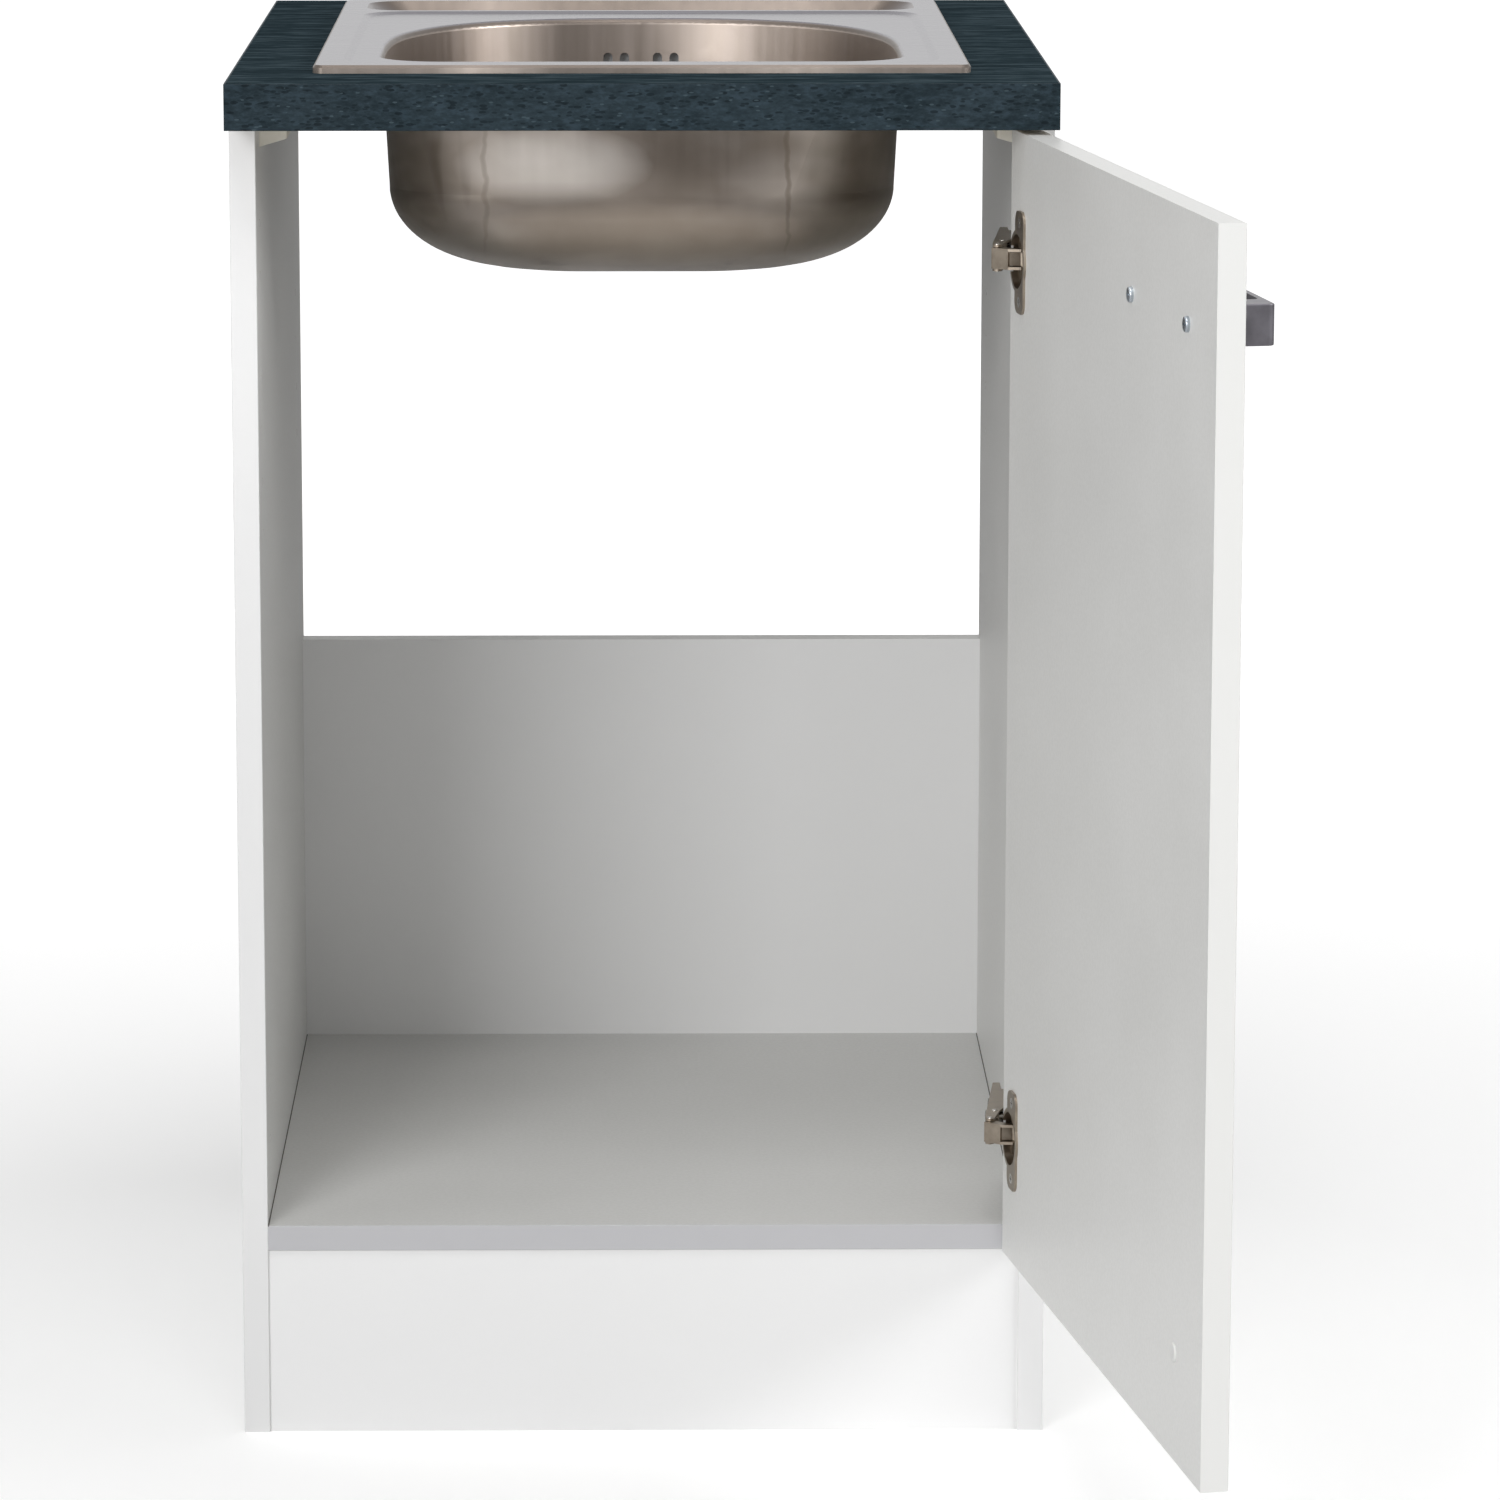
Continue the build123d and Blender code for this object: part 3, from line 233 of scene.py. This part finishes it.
def slate_colour(tree, streaks):
    """Stone print: blue-grey and greenish clouds with small dark and pale flecks, on the top also
    with pale streaks along X. Returns colour and height."""
    clouds = noise(tree, 26.0, 6.0, 0.66)
    fine = stretched_noise(tree, (150.0, 340.0, 340.0), 4.0, 0.7)
    colour = mix(tree, 0.5, ramp(tree, clouds, CLOUD_TONES), ramp(tree, fine, GRAIN_TONES))
    long_cells = stretch(tree, FLECK_STRETCH)
    for scale, share, tone, size in FLECKS:
        cells = add(tree, "ShaderNodeTexVoronoi", {"Vector": long_cells, "Scale": scale})
        pick = add(tree, "ShaderNodeSeparateColor", {"Color": cells.outputs["Color"]}).outputs[1]
        chosen = math_node(tree, "GREATER_THAN", pick, share)
        inside = math_node(tree, "LESS_THAN", cells.outputs["Distance"], size)
        fleck = math_node(tree, "MULTIPLY", chosen, inside)
        fleck = math_node(tree, "MULTIPLY", fleck, FLECK_STRENGTH)
        colour = mix(tree, fleck, colour, tone)
    if streaks:
        lines = stretched_noise(tree, (24.0, 170.0, 170.0), 4.0, 0.65)
        colour = mix(tree, 0.6, colour, ramp(tree, lines, STREAK_TONES))
    return colour, fine


def worktop_board(name):
    """High-pressure laminate, quite matt, on chipboard that shows raw round the cut-out and
    behind, with a plain brown backing foil below."""
    material, tree, shader = new_material(name, specular=0.0)
    colour, height = slate_colour(tree, True)
    normal = place_parts(tree, "Normal")
    chips, grain = chip_colour(tree)
    below = math_node(tree, "LESS_THAN", normal["Z"], -LEVEL_FACING)
    cut = math_node(tree, "LESS_THAN", size_of(tree, normal["Z"]), LEVEL_FACING)
    foil = ramp(tree, noise(tree, 60.0, 5.0, 0.65), FOIL_TONES)
    colour = mix(tree, below, colour, foil)
    colour = mix(tree, cut, colour, chips)
    height = mix(tree, cut, height, grain)
    rough = ramp(tree, height, [(0.3, 0.5), (0.7, 0.62)])
    rough = mix(tree, math_node(tree, "MAXIMUM", below, cut), rough, BARE_ROUGH)
    finish_surface(tree, shader, colour, rough, height, 0.10, 0.0003)
    return material


def laminate_band(name):
    """Plastic edge band with the same print, matt like the top."""
    material, tree, shader = new_material(name, specular=0.02)
    colour, height = slate_colour(tree, False)
    rough = ramp(tree, height, [(0.3, 0.36), (0.7, 0.5)])
    finish_surface(tree, shader, colour, rough, height, 0.10, 0.0003)
    return material


# ---- sink ----
# The bowl's X runs from -1/6 to 1/6 m; scaled and shifted it gives 0 to 1 from left to right.
ACROSS_SCALE = 3.0
ACROSS_SHIFT = 0.5
DECK_TONES = [(0.3, "#767479"), (0.7, "#7e7c81")]
# Painted shade on the deck's gently sloping steps: a darker tone, mixed in this much.
TILT_SHADE_TONE = "#5f5b66"
TILT_SHADE_SHARE = 0.35
WALL_TONES = [(0.3, "#948a82"), (0.7, "#9a9089")]
# Painted reflection on the bowl's wall from left to right: a multiplier for its brightness, bright where lamps
# would reflect and darker between.
WALL_PAINTED_REFLECTION = [
    (0.06, 0.85), (0.12, 0.95), (0.19, 1.85), (0.25, 1.35), (0.34, 0.7),
    (0.5, 0.72), (0.62, 1.3), (0.82, 1.65), (0.9, 1.0), (0.95, 0.9),
]
# Share of painted shade by how level the sheet lies: most on the steep part of a pressed step.
STEP_SHADE = [(0.25, 0.0), (0.4, 0.8), (0.72, 0.8), (0.93, 0.0)]
STEP_SHADE_TONE = "#5a524c"
STEP_FROM = 0.8465  # steps above this height, on the rim and the deck, get that painted shade
OUTSIDE_FROM = 0.826  # the bowl's outside colouring, with its painted shade and reflections, begins below this height
OUTSIDE_FULL = 0.818

# The bowl's outside from left to right: painted shade towards the ends and a painted reflection as the pale
# stretch left of the middle.
UNDER_PAINTED_LIGHT = [
    (0.03, "#5a5349"), (0.13, "#6f675d"), (0.24, "#a59c94"), (0.42, "#aaa19a"),
    (0.55, "#8a8179"), (0.7, "#776e66"), (0.86, "#8c8478"), (0.98, "#7c7468"),
]
# Soft ovals on it: middle (X, Z), half size, strength and colour. In turn: a painted shadow under the worktop's
# edge, a painted sheen, a pale painted reflection low down, and two thin lines of painted shade where the flat
# front wall turns into the rounded corners.
UNDER_PAINTED_PATCHES = [
    ((0.03, 0.795), (0.085, 0.032), 0.75, "#463f39"),
    ((-0.055, 0.789), (0.062, 0.026), 0.5, "#cbc6c1"),
    ((0.0, 0.745), (0.11, 0.024), 0.5, "#c0b1a1"),
    ((-0.0967, 0.78), (0.002, 0.055), 0.35, "#5f564c"),
    ((0.0894, 0.785), (0.002, 0.06), 0.5, "#574d42"),
]
OVAL_FADE = [(0.0, 1.0), (0.5, 0.55), (1.0, 0.0)]
SWAY = 0.008  # how far the ovals waver sideways
UNDER_CLOUDS = [(0.36, "#5a5249"), (0.5, "#857c74"), (0.64, "#bab3ad")]
UNDER_RUNS = [(0.28, "#443c34"), (0.36, "#837a72"), (0.7, "#8b8278")]
# A soft band of painted shade where the bowl's wall meets its bend: its height, width, fade and colour.
BEND_HEIGHT = 0.767  # where the bowl's wall meets its bend
BEND_SCALE = 50.0
BEND_FADE = [(0.05, 0.4), (0.6, 0.0)]
BEND_SHADE_TONE = "#4c453d"


def across_bowl(tree, x):
    return math_node(tree, "MULTIPLY_ADD", x, ACROSS_SCALE, ACROSS_SHIFT)


def soft_oval(tree, x, z, middle, half):
    """1 in the middle of an upright oval, fading to 0 at its edge."""
    across = math_node(tree, "DIVIDE", math_node(tree, "SUBTRACT", x, middle[0]), half[0])
    up = math_node(tree, "DIVIDE", math_node(tree, "SUBTRACT", z, middle[1]), half[1])
    reach = math_node(tree, "MULTIPLY_ADD", up, up, math_node(tree, "MULTIPLY", across, across))
    return ramp(tree, reach, OVAL_FADE)


def outside_marks_and_painted_light(tree):
    """The bowl's outside: painted shade towards the ends, a painted reflection left of the middle,
    cloudy patches, a few long runs, a painted shadow under the worktop's edge with a painted sheen
    and a pale painted reflection, two thin lines of painted shade where the flat wall turns into
    the corners, and a soft band of painted shade where the wall meets the bend."""
    where = place_parts(tree)
    tone = ramp(tree, across_bowl(tree, where["X"]), UNDER_PAINTED_LIGHT)
    patches = stretched_noise(tree, (9.0, 9.0, 16.0), 3.0, 0.55)
    tone = mix(tree, 0.5, tone, ramp(tree, patches, UNDER_CLOUDS))
    runs = stretched_noise(tree, (46.0, 46.0, 3.0), 2.0, 0.5)
    tone = mix(tree, 0.3, tone, ramp(tree, runs, UNDER_RUNS))
    sway = stretched_noise(tree, (30.0, 30.0, 60.0), 2.0, 0.5)
    left = math_node(tree, "SUBTRACT", where["X"], SWAY / 2)
    swayed = math_node(tree, "MULTIPLY_ADD", sway, SWAY, left)
    # the painted shadow, sheen, reflection and shade lines, as soft ovals
    for middle, half, strength, colour in UNDER_PAINTED_PATCHES:
        oval = soft_oval(tree, swayed, where["Z"], middle, half)
        tone = mix(tree, math_node(tree, "MULTIPLY", oval, strength), tone, colour)
    # painted shade band where the wall meets the bend
    away = size_of(tree, math_node(tree, "SUBTRACT", where["Z"], BEND_HEIGHT))
    band = ramp(tree, math_node(tree, "MULTIPLY", away, BEND_SCALE), BEND_FADE)
    return mix(tree, band, tone, BEND_SHADE_TONE)


def brushed_steel(name):
    """Stainless sheet, pressed: flat places keep a fine brushing along X and look lilac-grey, the
    bowl's drawn walls are duller and warmer with painted reflection bands across them, and the
    sloping steps get painted shade as darker lines."""
    material, tree, shader = new_material(name, metallic=1.0)
    flat = stretched_noise(tree, (7.0, 900.0, 900.0), 3.0, 0.6)
    drawn = stretched_noise(tree, (160.0, 160.0, 5.0), 2.0, 0.5)
    lying = size_of(tree, place_parts(tree, "Normal")["Z"])
    level = ramp(tree, lying, [(0.7, 0.0), (0.92, 1.0)])
    lines = mix(tree, level, drawn, flat)
    deck = ramp(tree, lines, DECK_TONES)
    # painted shade on the deck's gentle slopes, chosen by how level the sheet lies
    tilt = ramp(tree, lying, [(0.93, 1.0), (0.975, 0.0)])
    deck = mix(tree, math_node(tree, "MULTIPLY", tilt, TILT_SHADE_SHARE), deck, TILT_SHADE_TONE)
    where = place_parts(tree)
    # painted reflection bands across the bowl's wall
    reflection_bands = ramp(tree, across_bowl(tree, where["X"]), WALL_PAINTED_REFLECTION)
    wall = mix(tree, 1.0, ramp(tree, lines, WALL_TONES), reflection_bands, "MULTIPLY")
    values = {"Value": where["Z"], "From Min": OUTSIDE_FROM, "From Max": OUTSIDE_FULL}
    outside = add(tree, "ShaderNodeMapRange", values).outputs["Result"]
    wall = mix(tree, outside, wall, outside_marks_and_painted_light(tree))
    level = mix(tree, outside, level, grey(0.0))
    colour = mix(tree, level, wall, deck)
    # painted shade on the steep parts of the pressed steps near the rim
    steep = ramp(tree, lying, STEP_SHADE)
    near_rim = math_node(tree, "GREATER_THAN", where["Z"], STEP_FROM)
    colour = mix(tree, math_node(tree, "MULTIPLY", steep, near_rim), colour, STEP_SHADE_TONE)
    dull = ramp(tree, lines, [(0.3, 0.38), (0.7, 0.44)])
    bright = ramp(tree, lines, [(0.3, 0.24), (0.7, 0.29)])
    finish_surface(tree, shader, colour, mix(tree, level, dull, bright), lines, 0.012, 0.00005)
    return material


# ---- small metal, plastic, rubber and wood pieces ----
def patchy_surface(tree, shader, patches, grain, tones, rough, strength, distance):
    """Colour and roughness that change with the same patches, over a fine grain."""
    colour = ramp(tree, patches, [(0.35, tones[0]), (0.65, tones[1])])
    roughness = ramp(tree, patches, [(0.3, rough[0]), (0.7, rough[1])])
    finish_surface(tree, shader, colour, roughness, grain, strength, distance)


def plated_metal(name, dark, light, low, high):
    """Plated steel with faint press marks and rubbed patches."""
    material, tree, shader = new_material(name, metallic=1.0)
    patches = noise(tree, 90.0, 4.0, 0.6)
    grain = noise(tree, 1800.0, 2.0)
    patchy_surface(tree, shader, patches, grain, (dark, light), (low, high), 0.08, 0.00005)
    return material


def moulded_plastic(name, dark, light, low=0.36, high=0.5):
    """Moulded plastic or rubber with a fine spark-eroded texture."""
    material, tree, shader = new_material(name, specular=0.45)
    patches = noise(tree, 90.0, 3.0)
    grain = noise(tree, 2600.0, 2.0)
    patchy_surface(tree, shader, patches, grain, (dark, light), (low, high), 0.12, 0.00005)
    return material


def galvanised(name):
    """Zinc-coated strip with its crystal pattern."""
    material, tree, shader = new_material(name, metallic=1.0)
    cells = add(tree, "ShaderNodeTexVoronoi", {"Scale": 240.0})
    tone = add(tree, "ShaderNodeSeparateColor", {"Color": cells.outputs["Color"]}).outputs[0]
    colour = ramp(tree, tone, [(0.0, "#8f9295"), (1.0, "#b4b7ba")])
    rough = ramp(tree, tone, [(0.0, 0.3), (1.0, 0.5)])
    finish_surface(tree, shader, colour, rough, tone, 0.05, 0.0001)
    return material


def beech(name):
    """Beech dowel rod with its grain along X."""
    material, tree, shader = new_material(name, specular=0.3)
    grain = stretched_noise(tree, (60.0, 900.0, 900.0), 4.0, 0.6)
    colour = ramp(tree, grain, [(0.3, "#a9784b"), (0.5, "#c4956a"), (0.7, "#d9b188")])
    rough = ramp(tree, grain, [(0.3, 0.6), (0.7, 0.8)])
    finish_surface(tree, shader, colour, rough, grain, 0.3, 0.0002)
    return material


# ---- finishes ----
def finish_nodes():
    """Gives each piece its material: by the piece's name for a few, else by its record slot."""
    white = ("#e2e2e0", "#ececec")
    by_slot = {
        "cabinet_board": melamine("white melamine", *white, raw=REAR_AND_LOWER_EDGE),
        "door_board": melamine("white melamine, door", "#e6e6e4", "#e6e6e4"),
        "worktop_laminate": worktop_board("stone-effect laminate on chipboard"),
        "worktop_edge": laminate_band("stone-effect edge band"),
        "sink_steel": brushed_steel("brushed stainless steel"),
        "seal_rubber": moulded_plastic("black foam rubber", "#141414", "#1d1d1d", 0.7, 0.9),
        "clamp_steel": galvanised("galvanised strip steel"),
        "zinc_steel": plated_metal("zinc-plated steel", "#a8b0b8", "#cfd6dc", 0.2, 0.34),
        "white_plastic": moulded_plastic("white moulded plastic", "#e8e4d7", "#f0ece1"),
        "cap_plastic": moulded_plastic("white plastic cap", "#dcdcda", "#e6e6e4"),
        "beech": beech("fluted beech"),
        "hinge_nickel": plated_metal("nickel-plated steel", "#93887b", "#a89d8f", 0.28, 0.42),
        "screw_nickel": plated_metal("nickel-plated screw", "#b6b3ae", "#d2d0cc", 0.16, 0.28),
        "handle_metal": plated_metal("satin grey metal", "#6b696e", "#76747a", 0.34, 0.46),
    }
    base = melamine("white melamine, base", "#dededc", "#c2c2c5", raw=REAR_EDGE, joint_shade=True)
    by_name = {
        "back_panel": melamine("white melamine, banded", *white),
        "plinth_board": melamine("white melamine, plinth", "#ededec", "#f3f3f3"),
        "base_panel": base,
        "handle_screws": by_slot["zinc_steel"],
    }
    slots = {item["node"]: item["material_slot"] for item in frame["record"]["subparts"]}
    for name, item in nodes.items():
        item.data.materials.clear()
        item.data.materials.append(by_name.get(name, by_slot[slots[name]]))
    return by_slot


EDGE_ROUNDS = (
    ("side_panel_left", 0.0003),
    ("side_panel_right", 0.0003),
    ("base_panel", 0.0003),
    ("plinth_board", 0.0004),
    ("back_panel", 0.0004),
)
SHARP_ANGLE = 50  # degrees


def soften_edges():
    """A small bevel on the boards' edges, so that they catch the light."""
    for name, width in EDGE_ROUNDS:
        bevel = nodes[name].modifiers.new("edge", "BEVEL")
        bevel.width = width
        bevel.segments = 2
        bevel.limit_method = "ANGLE"
        bevel.angle_limit = math.radians(SHARP_ANGLE)


# ---- added pieces ----
RIVET_RADIUS = 0.0019
RIVET_HEIGHT = 0.0008


def head_tree():
    """Geometry Nodes: a domed head on every point, half of it sunk in the piece below."""
    tree = bpy.data.node_groups.new("rivet heads", "GeometryNodeTree")
    face = tree.interface
    for name, kind in (
        ("Geometry", "NodeSocketGeometry"),
        ("Head radius", "NodeSocketFloat"),
        ("Head height", "NodeSocketFloat"),
        ("Metal", "NodeSocketMaterial"),
    ):
        face.new_socket(name, in_out="INPUT", socket_type=kind)
    face.new_socket("Geometry", in_out="OUTPUT", socket_type="NodeSocketGeometry")
    given = add(tree, "NodeGroupInput").outputs
    radius, height = given["Head radius"], given["Head height"]
    ball = add(tree, "GeometryNodeMeshUVSphere", {"Segments": 24, "Rings": 10, "Radius": 1.0})
    size = add(tree, "ShaderNodeCombineXYZ", {0: radius, 1: radius, 2: height})
    values = {"Geometry": ball.outputs[0], "Scale": size.outputs[0]}
    head = add(tree, "GeometryNodeTransform", values)
    points = {"Points": given["Geometry"], "Instance": head.outputs[0]}
    heads = add(tree, "GeometryNodeInstanceOnPoints", points)
    solid = add(tree, "GeometryNodeRealizeInstances", {"Geometry": heads.outputs[0]})
    smooth = add(tree, "GeometryNodeSetShadeSmooth", {"Geometry": solid.outputs[0]})
    values = {"Geometry": smooth.outputs[0], "Material": given["Metal"]}
    metal = add(tree, "GeometryNodeSetMaterial", values)
    add(tree, "NodeGroupOutput", {0: metal.outputs[0]})
    return tree


def rivet_heads(finishes):
    """Peened heads on the hinge arms' pins."""
    pivots = {joint["name"]: joint["pos_m"] for joint in frame["joints"]}
    tree = head_tree()
    sockets = [item for item in tree.interface.items_tree if item.in_out == "INPUT"]
    keys = {item.name: item.identifier for item in sockets}
    for end in ("upper", "lower"):
        low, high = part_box("hinge_arm_pins_" + end)
        places = []
        for joint in ("front_link_swing", "rear_link_swing"):
            x, y, _ = pivots[joint]
            places += [(x, y, high.z), (x, y, low.z)]
        data = bpy.data.meshes.new("pin ends")
        data.from_pydata(places, [], [])
        source = bpy.data.objects.new("pin ends", data)
        scene.collection.objects.link(source)
        growth = source.modifiers.new("heads", "NODES")
        growth.node_group = tree
        growth[keys["Head radius"]] = RIVET_RADIUS
        growth[keys["Head height"]] = RIVET_HEIGHT
        growth[keys["Metal"]] = finishes["screw_nickel"]
        ready = source.evaluated_get(bpy.context.evaluated_depsgraph_get())
        mesh = bpy.data.meshes.new_from_object(ready)
        bpy.data.objects.remove(source)
        item = bpy.data.objects.new("hinge_rivets_" + end, mesh)
        scene.collection.objects.link(item)
        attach(item, "cabinet")


# ---- stage, light and camera ----
FLOOR_HALF = 20.0
FLOOR_COLOUR = grey(0.82)
FLOOR_ROUGH = 0.9
# The floor's own light to the camera, by distance from the frame's origin.
FLOOR_GLOW = {"From Min": 0.7, "From Max": 3.0, "To Min": 0.36, "To Max": 0.95}
WHITE = grey(1.0)
WORLD_LEVEL = 0.14

LOW_MIDDLE = (0.0, 0.0, 0.45)
WORKTOP_SIDE = (0.0, 0.2, 0.8)
# name, place, target, size and watts
LAMPS = (
    ("key", (-1.67, -3.58, 1.89), LOW_MIDDLE, (1.6, 1.6), 74.0),
    ("right", (3.30, -1.90, 2.23), LOW_MIDDLE, (1.6, 1.6), 48.5),
    ("high", (-0.12, -1.70, 4.25), LOW_MIDDLE, (1.6, 1.6), 42.0),
    ("top", (0.2, 0.3, 3.5), (0.0, 0.1, 0.8), (2.0, 1.6), 12.0),
    ("low", (-0.2, -4.6, 0.5), (0.0, 0.0, 0.3), (1.6, 0.8), 9.0),
    ("side right", (4.0, -0.7, 2.3), WORKTOP_SIDE, (1.2, 0.8), 30.0),
    ("side left", (-3.7, -1.6, 2.2), WORKTOP_SIDE, (1.6, 0.8), 8.0),
)

CAMERA_PLACE = (-0.00738, -3.93573, 1.22363)
CAMERA_DOWN = 10.271  # degrees
CAMERA_RIGHT = 0.529  # degrees
CAMERA_LENS = 156.58
CAMERA_SENSOR = 36.0
CAMERA_SHIFT = (0.04, -0.08)
CAMERA_FAR = 100.0


def stage():
    """A plain white floor that keeps the object's shadow."""
    data = bpy.data.meshes.new("floor")
    low, high = -FLOOR_HALF, FLOOR_HALF
    corners = [(low, low, 0), (high, low, 0), (high, high, 0), (low, high, 0)]
    data.from_pydata(corners, [], [(0, 1, 2, 3)])
    floor = bpy.data.objects.new("floor", data)
    scene.collection.objects.link(floor)
    material, tree, shader = new_material("white floor", specular=0.1)
    shader.inputs["Base Color"].default_value = FLOOR_COLOUR
    shader.inputs["Roughness"].default_value = FLOOR_ROUGH
    shader.inputs["Emission Color"].default_value = WHITE
    seen = add(tree, "ShaderNodeLightPath").outputs["Is Camera Ray"]
    length = add(tree, "ShaderNodeVectorMath", {0: coordinates(tree)}, operation="LENGTH")
    values = {"Value": length.outputs["Value"], **FLOOR_GLOW}
    level = add(tree, "ShaderNodeMapRange", values).outputs["Result"]
    glow = math_node(tree, "MULTIPLY", seen, level)
    tree.links.new(glow, shader.inputs["Emission Strength"])
    data.materials.append(material)


def world_light():
    """Even soft light; the background is white to the camera and in reflections."""
    world = bpy.data.worlds.new("studio")
    scene.world = world
    world.use_nodes = True
    tree = world.node_tree
    back = tree.nodes["Background"]
    back.inputs["Color"].default_value = WHITE
    path = add(tree, "ShaderNodeLightPath").outputs
    seen = math_node(tree, "MAXIMUM", path["Is Camera Ray"], path["Is Glossy Ray"])
    seen = math_node(tree, "MAXIMUM", seen, path["Is Transmission Ray"])
    values = {"Value": seen, "To Min": WORLD_LEVEL, "To Max": 1.0}
    strength = add(tree, "ShaderNodeMapRange", values).outputs["Result"]
    tree.links.new(strength, back.inputs["Strength"])


def lamp(name, place, target, size, power):
    """A rectangular lamp that looks at its target."""
    data = bpy.data.lights.new(name, "AREA")
    data.shape = "RECTANGLE"
    data.size, data.size_y = size
    data.energy = power
    item = bpy.data.objects.new(name, data)
    item.location = place
    item.rotation_euler = (Vector(target) - Vector(place)).to_track_quat("-Z", "Y").to_euler()
    scene.collection.objects.link(item)


def camera():
    """The photograph's view: from the front, a little above the worktop."""
    data = bpy.data.cameras.new("camera")
    data.lens = CAMERA_LENS
    data.sensor_width = CAMERA_SENSOR
    data.sensor_fit = "HORIZONTAL"
    data.shift_x, data.shift_y = CAMERA_SHIFT
    data.clip_end = CAMERA_FAR
    item = bpy.data.objects.new("camera", data)
    item.location = CAMERA_PLACE
    item.rotation_euler = (math.radians(90 - CAMERA_DOWN), 0, math.radians(-CAMERA_RIGHT))
    scene.collection.objects.link(item)
    scene.camera = item


camera()
stage()
world_light()
for values in LAMPS:
    lamp(*values)
finishes = finish_nodes()
soften_edges()
rivet_heads(finishes)
